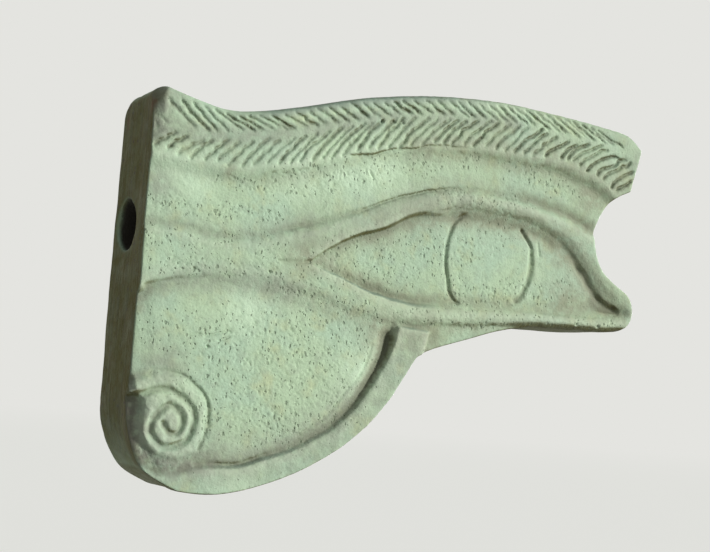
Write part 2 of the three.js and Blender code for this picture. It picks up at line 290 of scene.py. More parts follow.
bpy.ops.object.select_all(action="DESELECT")
bpy.context.view_layer.objects.active = body
body.select_set(True)
cut = body.modifiers.new("bore", "BOOLEAN")
cut.operation = "DIFFERENCE"
cut.solver = "EXACT"
cut.object = bore
bpy.ops.object.modifier_apply(modifier=cut.name)
bpy.data.objects.remove(bore)
print("bored blank:", len(body.data.vertices), "vertices")

# %% [markdown]
# ## Soft paste
# Relief as fine as the hairs of the brow needs a dense and even mesh. A voxel remesh gives one, and
# repeated smoothing rounds every rim as handling and wear did. The back was rounded most, and the
# straight rim on the left of the front stayed crisp, so a vertex group says how much each place is
# smoothed.

# %% Dense, rounded body
VOXEL = 0.15
ROUNDING = 0.9
SMOOTH_FACTOR = 0.5
GRADES = 20
FRONT_SHARE = 0.3
CRISP_SHARE = 0.1


def read_places(mesh):
    """The places of a mesh's vertices as rows of millimetres."""
    places = np.empty(len(mesh.vertices) * 3)
    mesh.vertices.foreach_get("co", places)
    return places.reshape(-1, 3) / MM


def write_places(mesh, places):
    """Puts a mesh's vertices at the given places in millimetres."""
    mesh.vertices.foreach_set("co", (places * MM).ravel())
    mesh.update()


def read_normals(mesh):
    """The normals of a mesh's vertices as rows."""
    normals = np.empty(len(mesh.vertices) * 3)
    mesh.vertices.foreach_get("normal", normals)
    return normals.reshape(-1, 3)


def weigh(piece, name, weights):
    """Gives the piece a vertex group with one weight for each vertex, in even grades."""
    group = piece.vertex_groups.new(name=name)
    grades = np.round(weights * GRADES).astype(int)
    for grade in range(1, GRADES + 1):
        group.add(np.flatnonzero(grades == grade).tolist(), grade / GRADES, "REPLACE")
    return group.name


def apply_new(piece, kind, **settings):
    """Adds a modifier with its settings and applies it."""
    modifier = piece.modifiers.new(kind.lower(), kind)
    for name, value in settings.items():
        setattr(modifier, name, value)
    bpy.ops.object.modifier_apply(modifier=modifier.name)


apply_new(body, "REMESH", mode="VOXEL", voxel_size=VOXEL * MM, adaptivity=0)
places = read_places(body.data)
to_left_rim = np.hypot(places[:, 0] - left, np.clip(places[:, 1] - front, 0, None))
rim_weights = FRONT_SHARE + (1 - FRONT_SHARE) * rise(places[:, 1] - front, 2, 6)
rim_weights = rim_weights - (rim_weights - CRISP_SHARE) * fall(to_left_rim, 1, 2.5)
smoothing_rounds = round((ROUNDING / VOXEL) ** 2 / SMOOTH_FACTOR)
soft = weigh(body, "soft", rim_weights)
apply_new(body, "SMOOTH", factor=SMOOTH_FACTOR, iterations=smoothing_rounds, vertex_group=soft)
body.vertex_groups.clear()
print("vertices:", len(body.data.vertices))

# %% [markdown]
# The left end isn't quite square. Towards the front it leans inwards by half a millimetre.

# %% Slanting end
END_SLANT = 0.5
END_REACH = 3
places = read_places(body.data)
toward_front = np.clip((back - places[:, 1]) / (back - front), 0, 1)
places[:, 0] += END_SLANT * toward_front * fall(places[:, 0] - left, 0, END_REACH)
write_places(body.data, places)
print("dense body:", len(body.data.vertices), "vertices after", smoothing_rounds, "rounds")

# %% [markdown]
# ## The relief
# The carving is low: hardly deeper than 2 mm. So it is worked out as one number for each vertex of
# the front, how deep the gouge went there. The body just behind the front is squeezed by the same
# amount, and nothing can fold over. Each form is a few lines: a region and its level, a ridge, or a
# groove along a line. Where a form grows or dies away across the front, a few shares of the width
# say where. A form that reaches an end of the front starts or ends well outside it.

# %% Where the carving goes
SQUEEZE_REACH = 4
TREMOR = 0.1
TREMOR_LENGTH = 2.5
ROUGH_LENGTH = 0.6
FROM_LEFT_END = (-2, -1)
TO_RIGHT_END = (2, 3)
places = read_places(body.data)
on_front = np.flatnonzero(places[:, 1] < front + SQUEEZE_REACH)
true_spots = places[on_front][:, [0, 2]]


def wander(scale, seed, octaves=2):
    """A smooth random number from -1 to 1 for each spot, with bumps of the given size in mm."""
    shift = Vector((seed * 17.3, seed * 5.9, seed))
    return np.array([
        noise.fractal(Vector((x / scale, z / scale, 0)) + shift, 1.0, 2.0, octaves)
        for x, z in true_spots])


tremor = np.column_stack([wander(TREMOR_LENGTH, 11), wander(TREMOR_LENGTH, 12)])
spots = true_spots + TREMOR * tremor
from_left = spots[:, 0] - left
share_across = from_left / size[0]
share_up = (spots[:, 1] - bottom) / size[1]
rough = wander(ROUGH_LENGTH, 3)
depth = np.zeros(len(spots))
print("carved vertices:", len(spots))


def report(made):
    """Prints what was carved, and how deep the carving is on average by then."""
    print(made, "carved, mean depth", depth.mean().round(3), "mm")


def region(level, amount):
    """Takes the depth to a new level where amount is 1, and leaves it where amount is 0."""
    global depth
    depth = depth + (level - depth) * amount


def between(start, grown, shrinking, end):
    """1 where the share across lies between grown and shrinking, falling to 0 at start and end."""
    return rise(share_across, start, grown) * fall(share_across, shrinking, end)


def groove(shares, half_width, deep, waver=0.0, span=None, reach=3.0, spacing=0.5):
    """A rounded groove along a line. Its half width and depth are numbers, or one for each spot.
    The width wavers by an amount, and the span says between which shares it has its full depth."""
    global depth
    distance, _, _ = near(smooth_line(shares, spacing), spots, reach)
    if span:
        deep = deep * between(*span)
    depth = depth + deep * fall(distance, 0, half_width + waver * rough)


# %% [markdown]
# The brow stands highest, and its upper edge is a round shoulder. Its upper left corner is worn
# down. Below its foot the field is carved down with a soft step, which almost dies away in the
# middle, where a thin cut marks it.

# %% Brow foot and field
SHOULDER_RADIUS = 1.0
SHOULDER_DROP = 0.7
SHOULDER_LEAST = 0.3
END_DROP = 0.3
END_DROP_SHARE = 0.1
END_DROP_REACH = 2
WORN_DROP = 1.0
WORN_REACH = 1.9
WORN_SOME = 0.25
BROW_FOOT_SHARES = [
    [-0.05, 0.737], [0, 0.737], [0.06, 0.735], [0.15, 0.73], [0.204, 0.744], [0.268, 0.764],
    [0.368, 0.806], [0.438, 0.832], [0.504, 0.849], [0.595, 0.868], [0.7, 0.871], [0.8, 0.869],
    [0.861, 0.853], [0.908, 0.834], [0.945, 0.805], [1.0, 0.77]]
FOOT_CUT_SHARES = [
    [0.36, 0.803], [0.409, 0.812], [0.448, 0.833], [0.494, 0.845], [0.528, 0.858],
    [0.587, 0.867], [0.65, 0.871]]
FIELD_DEPTH = 0.7
FIELD_LEFT_SHARE = 0.72
FIELD_MIDDLE_SHARE = 0.55
FOOT_STEP = 1.5
FOOT_STEP_ABOVE = 0.3
MIDDLE_STEP_LESS = 0.6


def rolled(shares):
    """How far the front rolls over an edge of the outline: 0 away from it and 1 on it."""
    edge_gap, _, _ = near(smooth_line(shares), spots, 3)
    over_edge = np.clip(1 - edge_gap / SHOULDER_RADIUS, 0, 1)
    return 1 - np.sqrt(1 - over_edge ** 2)


def left_of(shares, spots_to_measure):
    """How far each spot lies to the left of a line, in millimetres, and below zero on its right."""
    distance, side, _ = near(smooth_line(shares), spots_to_measure)
    return distance * side


round_amount = SHOULDER_LEAST + (1 - SHOULDER_LEAST) * between(0.14, 0.3, 0.62, 0.85)
region(SHOULDER_DROP, rolled(OUTLINE_SHARES[5]) * round_amount)
under_edge = rolled(OUTLINE_SHARES[1]) * rise(share_across, 0.62, 0.75)
above_foot = left_of(BROW_FOOT_SHARES, spots)
near_end = fall(share_across, 0, END_DROP_SHARE)
depth = depth + END_DROP * near_end * rise(above_foot, 0, END_DROP_REACH)
worn = WORN_SOME * rise(share_up, 0.72, 0.78)
worn = worn + (1 - WORN_SOME) * rise(share_up, 0.8, 0.86)
depth = depth + WORN_DROP * worn * fall(from_left, 0, WORN_REACH)
middle = between(0.25, 0.4, 0.5, 0.75)
far_left = fall(share_across, 0.1, 0.3)
field_share = 1 - (1 - FIELD_MIDDLE_SHARE) * middle - (1 - FIELD_LEFT_SHARE) * far_left
foot_step = FOOT_STEP - MIDDLE_STEP_LESS * middle
region(FIELD_DEPTH * field_share, rise(-above_foot, -FOOT_STEP_ABOVE, foot_step))
groove(FOOT_CUT_SHARES, half_width=0.28, deep=0.25, span=(0.35, 0.38, 0.55, 0.64))
report("brow foot and field")

# %% [markdown]
# Below the field the lids stand up again as one plate. It is rounded off towards all its edges, more
# so on the right, where the lid is like a rope. Its upper edge is a soft step on the left, a thin
# cut in the middle and a broad valley on the right. The eye is sunk in the plate: its upper wall is
# steeper on the left and a soft slope on the right, and its lower one slopes.

# %% Lines of the lids
LID_TOP_SHARES = [
    [-0.05, 0.59], [0.064, 0.587], [0.133, 0.575], [0.189, 0.582], [0.244, 0.602],
    [0.276, 0.615], [0.31, 0.631], [0.341, 0.649], [0.374, 0.666], [0.403, 0.68],
    [0.434, 0.702], [0.473, 0.723], [0.515, 0.743], [0.588, 0.767], [0.648, 0.772],
    [0.709, 0.769], [0.772, 0.76], [0.837, 0.743], [0.877, 0.724], [0.93, 0.69], [1.0, 0.6]]
UPPER_LID_SHARES = [
    [0.256, 0.539], [0.272, 0.541], [0.289, 0.542], [0.306, 0.549], [0.322, 0.564],
    [0.349, 0.589], [0.375, 0.61], [0.404, 0.628], [0.435, 0.641], [0.462, 0.657],
    [0.487, 0.678], [0.517, 0.696], [0.558, 0.706], [0.589, 0.716], [0.63, 0.719],
    [0.68, 0.717], [0.728, 0.713], [0.763, 0.706], [0.798, 0.69], [0.841, 0.66],
    [0.87, 0.627], [0.894, 0.591], [0.923, 0.556], [0.978, 0.508]]
LOWER_LID_SHARES = [
    [0.256, 0.537], [0.283, 0.537], [0.316, 0.535], [0.346, 0.522], [0.379, 0.509],
    [0.414, 0.493], [0.445, 0.483], [0.48, 0.474], [0.533, 0.466], [0.605, 0.472],
    [0.694, 0.48], [0.787, 0.485], [0.883, 0.489], [0.948, 0.496], [0.978, 0.508]]
UNDER_LID_SHARES = [
    [-0.05, 0.436], [0.004, 0.439], [0.018, 0.451], [0.034, 0.459], [0.058, 0.465],
    [0.092, 0.474], [0.127, 0.481], [0.163, 0.484], [0.199, 0.482], [0.236, 0.478],
    [0.272, 0.471], [0.331, 0.458], [0.381, 0.44], [0.43, 0.425], [0.482, 0.418],
    [0.55, 0.423], [0.62, 0.43], [0.68, 0.438], [0.74, 0.445], [0.8, 0.448], [0.9, 0.45],
    [1.05, 0.455]]
below_lid_top = -left_of(LID_TOP_SHARES, spots)
under_upper = -left_of(UPPER_LID_SHARES, spots)
over_lower = left_of(LOWER_LID_SHARES, spots)
below_plate = -left_of(UNDER_LID_SHARES, spots)
lid_gap, upper_gap, lower_gap, under_gap = (
    np.abs(gap) for gap in (below_lid_top, under_upper, over_lower, below_plate))
print("spots on the upper lid:", np.sum((below_lid_top > 0) & (under_upper < 0)))

# %% Lid plate
PLATE_DEPTH = 0.2
PLATE_ROUND = 1.2
PLATE_ROUND_DROP = 0.2
ROPE_DROP = 0.42
BAND_TILT = 0.3
BAND_WIDTH = 4.5
BAND_TILT_SHARE = 0.09
PLATE_EDGE = 0.5
PLATE_EDGE_LESS = 0.3
PLATE_EDGE_MORE = 0.9
EDGE_LEVEL = 1.3


def to_side(inner_gap, outer_gap, here):
    """From -1 at one line of a lid to 1 at the other, and 1 where the lid isn't."""
    across = 2 * inner_gap / np.maximum(inner_gap + outer_gap, 0.01) - 1
    return np.where(here, across, 1)


sharp_upper = upper_gap + PLATE_ROUND * between(0.22, 0.28, 0.5, 0.62)
sharp_lower = lower_gap + PLATE_ROUND * between(0.22, 0.28, 0.7, 0.85)
to_plate_edge = np.minimum(np.minimum(lid_gap, sharp_upper), np.minimum(sharp_lower, under_gap))
rounded = PLATE_ROUND_DROP * fall(to_plate_edge, 0, PLATE_ROUND)
across_upper = to_side(lid_gap, upper_gap, (below_lid_top > 0) & (under_upper < 0))
across_lower = to_side(lower_gap, under_gap, (over_lower < 0) & (below_plate < 0))
rope = ROPE_DROP * np.minimum(across_upper ** 2, across_lower ** 2)
rope = rope * rise(share_across, 0.3, 0.75)
band_slope = BAND_TILT * fall(under_gap, 0, BAND_WIDTH) * fall(share_across, 0, BAND_TILT_SHARE)
plate_edge = PLATE_EDGE - PLATE_EDGE_LESS * between(0.2, 0.3, 0.5, 0.62)
plate_edge = plate_edge + PLATE_EDGE_MORE * rise(share_across, 0.62, 0.8)
plate_level = PLATE_DEPTH + rounded + rope - band_slope
region(plate_level, rise(below_lid_top, -plate_edge, plate_edge))
region(EDGE_LEVEL, under_edge)
report("lid plate")

# %% Upper edge of the plate
LID_CUT_LEAST = 0.32
LID_CUT_BROADER = 0.5
groove(LID_TOP_SHARES, half_width=1.0, deep=0.14, span=(*FROM_LEFT_END, 0.16, 0.26))
cut_width = LID_CUT_LEAST + LID_CUT_BROADER * fall(share_across, 0.33, 0.45)
groove(LID_TOP_SHARES, half_width=cut_width, waver=0.12, deep=0.2, span=(0.2, 0.28, 0.52, 0.62))
groove(LID_TOP_SHARES, half_width=1.6, deep=0.28, span=(0.62, 0.8, 0.88, 0.95))
report("upper edge of the plate")

# %% Eye
EYE_CENTRE_SHARES = [0.655, 0.59]
EYEBALL_HALF = np.array([29, 9.7])
EYEBALL_RISE = 1.5
EYEBALL_TOP_DEPTH = 0.75
EYEBALL_DEEPEST = 1.4
CORNER_LEAST = 0.3
WALL_FEET = [(0.15, 0.5), (0.1, 0.35)]
OUTER_WALL_DEPTH = 0.5
OUTER_WALL_REACH = 1.3
UPPER_WALL = (-0.12, 1.25, 0.72)
LOWER_WALL = (-0.2, 1.1, 0.6)


def fading(distance, reach):
    """1 up to a line, and dying away past it within about the reach."""
    return np.exp(-np.clip(distance, 0, None) / reach)


from_centre = (spots - corner - np.array(EYE_CENTRE_SHARES) * size) / EYEBALL_HALF
bulge = np.sqrt(np.clip(1 - (from_centre ** 2).sum(axis=1), 0, 1))
eyeball = np.minimum(EYEBALL_TOP_DEPTH + EYEBALL_RISE * (1 - bulge), EYEBALL_DEEPEST)
eyeball = eyeball * (CORNER_LEAST + (1 - CORNER_LEAST) * rise(share_across, 0.27, 0.45))
sharp_left = fall(share_across, 0.42, 0.66)
wall_foot = sharp_left * rise(share_across, 0.28, 0.36)
for past_lid, (foot_depth, foot_reach) in zip((under_upper, over_lower), WALL_FEET):
    eyeball = eyeball + foot_depth * wall_foot * fading(past_lid, foot_reach)
outer_wall = OUTER_WALL_DEPTH * between(0.56, 0.62, 0.8, 0.88)
eyeball = eyeball + outer_wall * fading(under_upper, OUTER_WALL_REACH)
in_eye = 1
for past_lid, (wall_start, wall_width, less_left) in (
        (under_upper, UPPER_WALL), (over_lower, LOWER_WALL)):
    in_eye = in_eye * rise(past_lid, wall_start, wall_width - less_left * sharp_left)
region(eyeball, in_eye)
report("eye")

# %% [markdown]
# The inner corner of the eye is a narrow wedge, and at the outer corner a deep groove runs down
# between the lid and the eyeball. Two bowed grooves, open at both ends, mark the iris.

# %% Corners and iris
INNER_CORNER_SHARES = [[0.256, 0.536], [0.27, 0.537], [0.288, 0.54], [0.305, 0.545]]
OUTER_GROOVE_SHARES = [
    [0.8, 0.685], [0.826, 0.665], [0.856, 0.634], [0.885, 0.592], [0.908, 0.557],
    [0.936, 0.528], [0.965, 0.511]]
IRIS_LEFT_SHARES = [
    [0.611, 0.487], [0.602, 0.494], [0.591, 0.518], [0.583, 0.555], [0.579, 0.584],
    [0.581, 0.632], [0.588, 0.664], [0.6, 0.69], [0.624, 0.714]]
IRIS_RIGHT_SHARES = [
    [0.736, 0.509], [0.746, 0.522], [0.758, 0.555], [0.764, 0.591], [0.764, 0.626],
    [0.762, 0.651], [0.753, 0.667], [0.742, 0.688]]
OUTER_GROOVE_DEPTH = 0.4
OUTER_GROOVE_TREMOR = 0.2
IRIS_LEFT_DEPTH = 0.32
IRIS_TOP_FADE = 0.6
IRIS_RIGHT_DEPTH = 0.34
IRIS_HALF_WIDTH = 0.42
IRIS_BROADER = 0.25
groove(INNER_CORNER_SHARES, half_width=0.5, deep=0.14)
outer_depth = OUTER_GROOVE_DEPTH + OUTER_GROOVE_TREMOR * tremor[:, 0]
groove(OUTER_GROOVE_SHARES, half_width=0.75, deep=outer_depth, span=(0.79, 0.9, *TO_RIGHT_END))
iris_depth = IRIS_LEFT_DEPTH * in_eye * (1 - IRIS_TOP_FADE * rise(share_up, 0.67, 0.72))
groove(IRIS_LEFT_SHARES, half_width=IRIS_HALF_WIDTH, waver=0.1, deep=iris_depth)
iris_width = IRIS_HALF_WIDTH + IRIS_BROADER * fall(share_up, 0.6, 0.66)
groove(IRIS_RIGHT_SHARES, half_width=iris_width, waver=0.12, deep=IRIS_RIGHT_DEPTH * in_eye)
report("corners and iris")

# %% [markdown]
# Below the lids the cheek is a shallow panel with a gentle swell. At the left end it lies deepest
# under the band. A raised strip borders it on the right, cut off flat at the top, with a trough
# between them that is deepest at the top. Along the lower left the strip thins to a crest.

# %% Cheek
CHEEK_DEPTH = 0.72
CHEEK_CENTRE_SHARES = [0.24, 0.28]
CHEEK_HALF = np.array([21.5, 14])
CHEEK_RISE = 0.35
CHEEK_END_DROP = 0.3
CHEEK_END_SHARE = 0.05
VALLEY_STEP = 0.7
VALLEY_MIDDLE_MORE = 0.8
VALLEY_RIGHT_MORE = 0.7
VALLEY_ABOVE = 0.25
VALLEY_ABOVE_MORE = 0.5
cheek_swell = ((spots - corner - np.array(CHEEK_CENTRE_SHARES) * size) / CHEEK_HALF) ** 2
cheek_level = CHEEK_DEPTH - CHEEK_RISE * np.clip(1 - cheek_swell.sum(axis=1), 0, 1)
cheek_level = cheek_level + CHEEK_END_DROP * fall(share_across, 0, CHEEK_END_SHARE)
valley_step = VALLEY_STEP + VALLEY_MIDDLE_MORE * between(0.2, 0.3, 0.46, 0.52)
valley_step = valley_step + VALLEY_RIGHT_MORE * rise(share_across, 0.5, 0.6)
valley_start = -VALLEY_ABOVE - VALLEY_ABOVE_MORE * between(0.22, 0.3, 0.5, 0.56)
region(cheek_level, rise(below_plate, valley_start, valley_step))
groove(UNDER_LID_SHARES[1:12], half_width=0.5, deep=0.16, span=(*FROM_LEFT_END, 0.08, 0.2))
report("cheek")

# %% Strip and trough
STRIP_INNER_SHARES = [
    [0.488, 0.415], [0.486, 0.405], [0.48, 0.372], [0.466, 0.322], [0.449, 0.276],
    [0.426, 0.23], [0.4, 0.19], [0.37, 0.156], [0.334, 0.128], [0.3, 0.108], [0.26, 0.088],
    [0.22, 0.07], [0.19, 0.062], [0.15, 0.06], [0.11, 0.052], [0.07, 0.044], [0.045, 0.046],
    [0.02, 0.055], [0.0, 0.07], [-0.02, 0.09]]
STRIP_OUTER_SHARES = [
    [-0.05, 0.15], [-0.05, -0.05], [0.3, -0.05], [0.6, 0.2], [0.54, 0.345], [0.553, 0.408]]
TROUGH_SHARES = [
    [0.476, 0.385], [0.47, 0.355], [0.456, 0.316], [0.437, 0.271], [0.411, 0.222],
    [0.38, 0.18], [0.345, 0.148], [0.309, 0.122], [0.282, 0.107], [0.251, 0.092],
    [0.225, 0.079], [0.197, 0.07], [0.166, 0.069], [0.131, 0.069]]
CHEEK_SCRATCH_SHARES = [
    [0.44, 0.364], [0.424, 0.301], [0.392, 0.248], [0.365, 0.195], [0.311, 0.141]]
STRIP_DEPTH = 0.12
STRIP_EDGE_DROP = 0.15
STRIP_EDGE_WIDTH = 0.8
STRIP_TREMOR = 0.08
TROUGH_DEPTH = 0.85
TROUGH_LOSS = 0.85
TROUGH_LOSS_POWER = 0.7
TROUGH_BANKS = (0.6, 2.4)
strip_loop = np.vstack([
    smooth_line(STRIP_INNER_SHARES), corner + np.array(STRIP_OUTER_SHARES) * size])
in_strip = inside_by(strip_loop, spots)
strip_edge = STRIP_EDGE_DROP * fall(in_strip, 0, STRIP_EDGE_WIDTH)
strip_level = STRIP_DEPTH + strip_edge * fall(share_up, 0.3, 0.36)
strip_level = strip_level + STRIP_TREMOR * tremor[:, 1]
region(strip_level, rise(in_strip, -0.35, 0.25))
trough_gap, trough_side, trough_along = near(smooth_line(TROUGH_SHARES), spots, 4)
toward_strip = trough_gap * trough_side
steep, gentle = TROUGH_BANKS
bank = np.where(
    toward_strip > 0, rise(toward_strip, 0, steep), rise(-toward_strip, 0, gentle) ** 0.5)
trough_depth = TROUGH_DEPTH * (1 - TROUGH_LOSS * trough_along ** TROUGH_LOSS_POWER)
depth = depth + trough_depth * (1 - bank)
groove(CHEEK_SCRATCH_SHARES, half_width=0.35, deep=0.12)
groove(
    TROUGH_SHARES[7:], half_width=0.42, waver=0.12, deep=0.2, span=(0.13, 0.18, 0.22, 0.29))
report("strip and trough")

# %% [markdown]
# The spiral is a flat coil that comes in from the left end. One groove is wound into it, and left of
# it and below it the paste was scooped away. A thin cut sets it off from the cheek.

# %% Lines of the spiral
COIL_SHARES = [
    [-0.05, 0.232], [0.0, 0.236], [0.021, 0.245], [0.035, 0.255], [0.044, 0.262], [0.059, 0.267],
    [0.077, 0.265], [0.093, 0.259], [0.109, 0.25], [0.122, 0.236], [0.135, 0.219], [0.142, 0.201],
    [0.146, 0.179], [0.146, 0.157], [0.143, 0.135], [0.137, 0.116], [0.132, 0.1],
    [0.122, 0.086], [0.108, 0.077], [0.092, 0.073], [0.072, 0.077], [0.051, 0.092],
    [0.039, 0.113], [0.032, 0.139], [0.031, 0.167], [0.032, 0.19], [0.025, 0.206],
    [0.0, 0.214], [-0.05, 0.214]]
COIL_GROOVE_SHARES = [
    [0.008, 0.202], [0.018, 0.208], [0.03, 0.213], [0.047, 0.222], [0.071, 0.225],
    [0.086, 0.218], [0.101, 0.206], [0.112, 0.191], [0.118, 0.179], [0.12, 0.164],
    [0.118, 0.146], [0.114, 0.129], [0.105, 0.113], [0.091, 0.104], [0.077, 0.099],
    [0.065, 0.103], [0.055, 0.114], [0.048, 0.127], [0.046, 0.138], [0.048, 0.156],
    [0.056, 0.171], [0.065, 0.184], [0.075, 0.193], [0.084, 0.189], [0.092, 0.181],
    [0.098, 0.168], [0.099, 0.153], [0.095, 0.139], [0.088, 0.13], [0.077, 0.133],
    [0.07, 0.142], [0.067, 0.15]]
HOLLOW_SHARES = [
    [-0.08, 0.222], [0.0, 0.21], [0.014, 0.203], [0.028, 0.2], [0.03, 0.16], [0.034, 0.13],
    [0.044, 0.1],
    [0.062, 0.08], [0.085, 0.072], [0.108, 0.07], [0.12, 0.062], [0.108, 0.052], [0.085, 0.05],
    [0.058, 0.052], [0.036, 0.06], [0.012, 0.07], [-0.02, 0.08], [-0.08, 0.09]]
print("points on the spiral:", len(COIL_SHARES) + len(COIL_GROOVE_SHARES))

# %% Spiral
HOLLOW_DEPTH = 1.2
HOLLOW_RIGHT_LESS = 0.65
HOLLOW_ROUGH = 0.06
HOLLOW_LEFT_MORE = 0.9
COIL_DEPTH = 0.25
COIL_EDGE_DROP = 0.2
COIL_EDGE_WIDTH = 0.9
COIL_TREMOR = 0.1
COIL_ROUGH = 0.04
COIL_CUT = slice(2, 17)
COIL_CUT_DEPTHS = (0.08, 0.14)
COIL_GROOVE_HALF_WIDTH = 0.7
COIL_GROOVE_TREMOR = 0.12
FINE_SPACING = 0.25
hollow_level = HOLLOW_DEPTH - HOLLOW_RIGHT_LESS * rise(share_across, 0.025, 0.08)
hollow_level = hollow_level + HOLLOW_ROUGH * rough
hollow_level = hollow_level + HOLLOW_LEFT_MORE * fall(from_left, -0.6, 2.6)
in_hollow = inside_by(smooth_line(HOLLOW_SHARES, FINE_SPACING), spots)
region(hollow_level, rise(in_hollow, -0.9, 0.6))
in_coil = inside_by(smooth_line(COIL_SHARES, FINE_SPACING), spots)
coil_level = COIL_DEPTH + COIL_EDGE_DROP * fall(in_coil, 0, COIL_EDGE_WIDTH)
coil_level = coil_level + COIL_TREMOR * tremor[:, 1] + COIL_ROUGH * rough
region(coil_level, rise(in_coil, -0.3, 0.3))
least_cut, more_cut = COIL_CUT_DEPTHS
coil_cut = least_cut + more_cut * rise(share_across, 0.04, 0.12)
groove(
    COIL_SHARES[COIL_CUT], half_width=0.34, waver=0.1, deep=coil_cut, spacing=FINE_SPACING)
coil_groove_width = COIL_GROOVE_HALF_WIDTH + COIL_GROOVE_TREMOR * tremor[:, 0]
groove(COIL_GROOVE_SHARES, half_width=coil_groove_width, deep=0.4, spacing=FINE_SPACING)
report("spiral")

# %% [markdown]
# The hairs of the brow are two rows of strokes that lean to the right and meet at a plain spine,
# which is widest on the left. They were cut one by one with a wavering hand, so spacing, length and
# depth vary. Near the tip the lower strokes bend like the grain of wood.

# %% Lines of the hairs
HAIR_TOP_SHARES = [
    [0.012, 0.862], [0.04, 0.869], [0.074, 0.864], [0.111, 0.856], [0.139, 0.852], [0.171, 0.853],
    [0.235, 0.871], [0.287, 0.892], [0.339, 0.914], [0.407, 0.938], [0.477, 0.957],
    [0.538, 0.971], [0.612, 0.981], [0.708, 0.986], [0.771, 0.985], [0.801, 0.984],
    [0.831, 0.981], [0.859, 0.977], [0.902, 0.966], [0.94, 0.952]]
SPINE_TOP_SHARES = [
    [0.03, 0.814], [0.063, 0.812], [0.12, 0.814], [0.175, 0.824], [0.267, 0.85],
    [0.373, 0.891], [0.468, 0.925], [0.54, 0.941], [0.633, 0.951], [0.689, 0.954],
    [0.759, 0.955], [0.8, 0.951], [0.828, 0.947], [0.87, 0.948], [0.918, 0.944], [0.944, 0.94],
    [0.98, 0.93]]
SPINE_FOOT_SHARES = [
    [0.0, 0.792], [0.036, 0.792], [0.088, 0.784], [0.13, 0.79], [0.177, 0.798], [0.268, 0.825],
    [0.364, 0.868], [0.458, 0.907], [0.5, 0.918], [0.583, 0.933], [0.642, 0.94],
    [0.693, 0.943], [0.743, 0.943], [0.773, 0.94], [0.802, 0.932], [0.84, 0.924]]
HAIR_FOOT_SHARES = [
    [-0.02, 0.762], [0.013, 0.76], [0.039, 0.754], [0.064, 0.746], [0.09, 0.743],
    [0.153, 0.742], [0.203, 0.753], [0.268, 0.771], [0.369, 0.813], [0.437, 0.84], [0.503, 0.861],
    [0.571, 0.877], [0.641, 0.882], [0.692, 0.881], [0.742, 0.884], [0.8, 0.876]]
GRAIN_SHARES = [
    [[0.81, 0.884], [0.819, 0.899], [0.831, 0.914], [0.845, 0.922]],
    [[0.826, 0.885], [0.833, 0.899], [0.839, 0.908], [0.848, 0.916], [0.859, 0.922], [0.871, 0.93]],
    [[0.838, 0.884], [0.847, 0.894], [0.86, 0.906], [0.878, 0.916], [0.89, 0.927], [0.903, 0.934]],
    [[0.853, 0.872], [0.861, 0.886], [0.877, 0.898], [0.891, 0.909], [0.902, 0.92], [0.916, 0.923]],
    [[0.872, 0.862], [0.88, 0.877], [0.898, 0.892], [0.914, 0.904], [0.931, 0.911], [0.943, 0.909]],
    [[0.896, 0.856], [0.904, 0.87], [0.927, 0.883], [0.939, 0.891], [0.944, 0.904], [0.96, 0.907]],
    [[0.91, 0.848], [0.919, 0.861], [0.933, 0.87], [0.947, 0.879], [0.953, 0.889], [0.963, 0.89],
     [0.972, 0.902]],
    [[0.93, 0.829], [0.937, 0.844], [0.953, 0.859], [0.964, 0.869], [0.98, 0.88]],
    [[0.942, 0.825], [0.951, 0.835], [0.963, 0.841], [0.98, 0.857]]]
STRAY_SHARES = [
    [[0.013, 0.824], [0.022, 0.822], [0.028, 0.813]], [[0.013, 0.809], [0.014, 0.795]],
    [[0.015, 0.789], [0.024, 0.799]]]
print("strokes placed one by one:", len(GRAIN_SHARES) + len(STRAY_SHARES))

# %% Hairs
TOP_LEANS = [[0, 3.3], [0.15, 3.1], [0.3, 2.5], [0.65, 2.6], [0.8, 3.4], [1, 4]]
FOOT_LEANS = [[0, 2.3], [0.1, 2.6], [0.2, 3.1], [0.35, 3.3], [0.8, 3.3]]
TOP_SPAN = (0.028, 0.905)
FOOT_SPAN = (0.012, 0.785)
HAIR_PITCH = 1.5
TOP_DEPTHS = [[0, 0.32], [0.25, 0.35], [0.5, 0.34], [0.65, 0.3], [0.8, 0.28]]
FOOT_DEPTHS = [[0, 0.36], [0.3, 0.36], [0.6, 0.4], [0.8, 0.44]]
GRAIN_DEPTH = 0.44
STRAY_DEPTH = 0.15
HAIR_HALF_WIDTH = 0.28
RIDGE_HALF_WIDTH = 0.75
RIDGE_PART = 0.2
HAIR_KNOTS = 7
HAIR_BEND = 0.12
FOOT_BOW = 0.16
UNEVEN_LEAN = (0.9, 1.1)
UNEVEN_TRIM = (-0.1, 0.04)
UNEVEN_PITCH = (0.85, 1.15)
UNEVEN_DEPTH = (0.75, 1.15)
UNEVEN_WIDTH = (0.85, 1.15)
HAIR_ROUGH = 0.15
chance = np.random.default_rng(7)


def point_at(line, across):
    """The place on a line of the brow at a distance across in millimetres from the left end."""
    return np.array([left + across, np.interp(left + across, line[:, 0], line[:, 1])])


def hair_line(root, tip, bow):
    """A wavering stroke from root to tip, bowed sideways."""
    share = np.linspace(0, 1, HAIR_KNOTS)[:, None]
    sideways = np.array([root[1] - tip[1], tip[0] - root[0]]) / np.linalg.norm(tip - root)
    bend = chance.normal(0, HAIR_BEND, (HAIR_KNOTS, 2)) + bow * sideways
    return root + (tip - root) * share + bend * np.sin(math.pi * share)


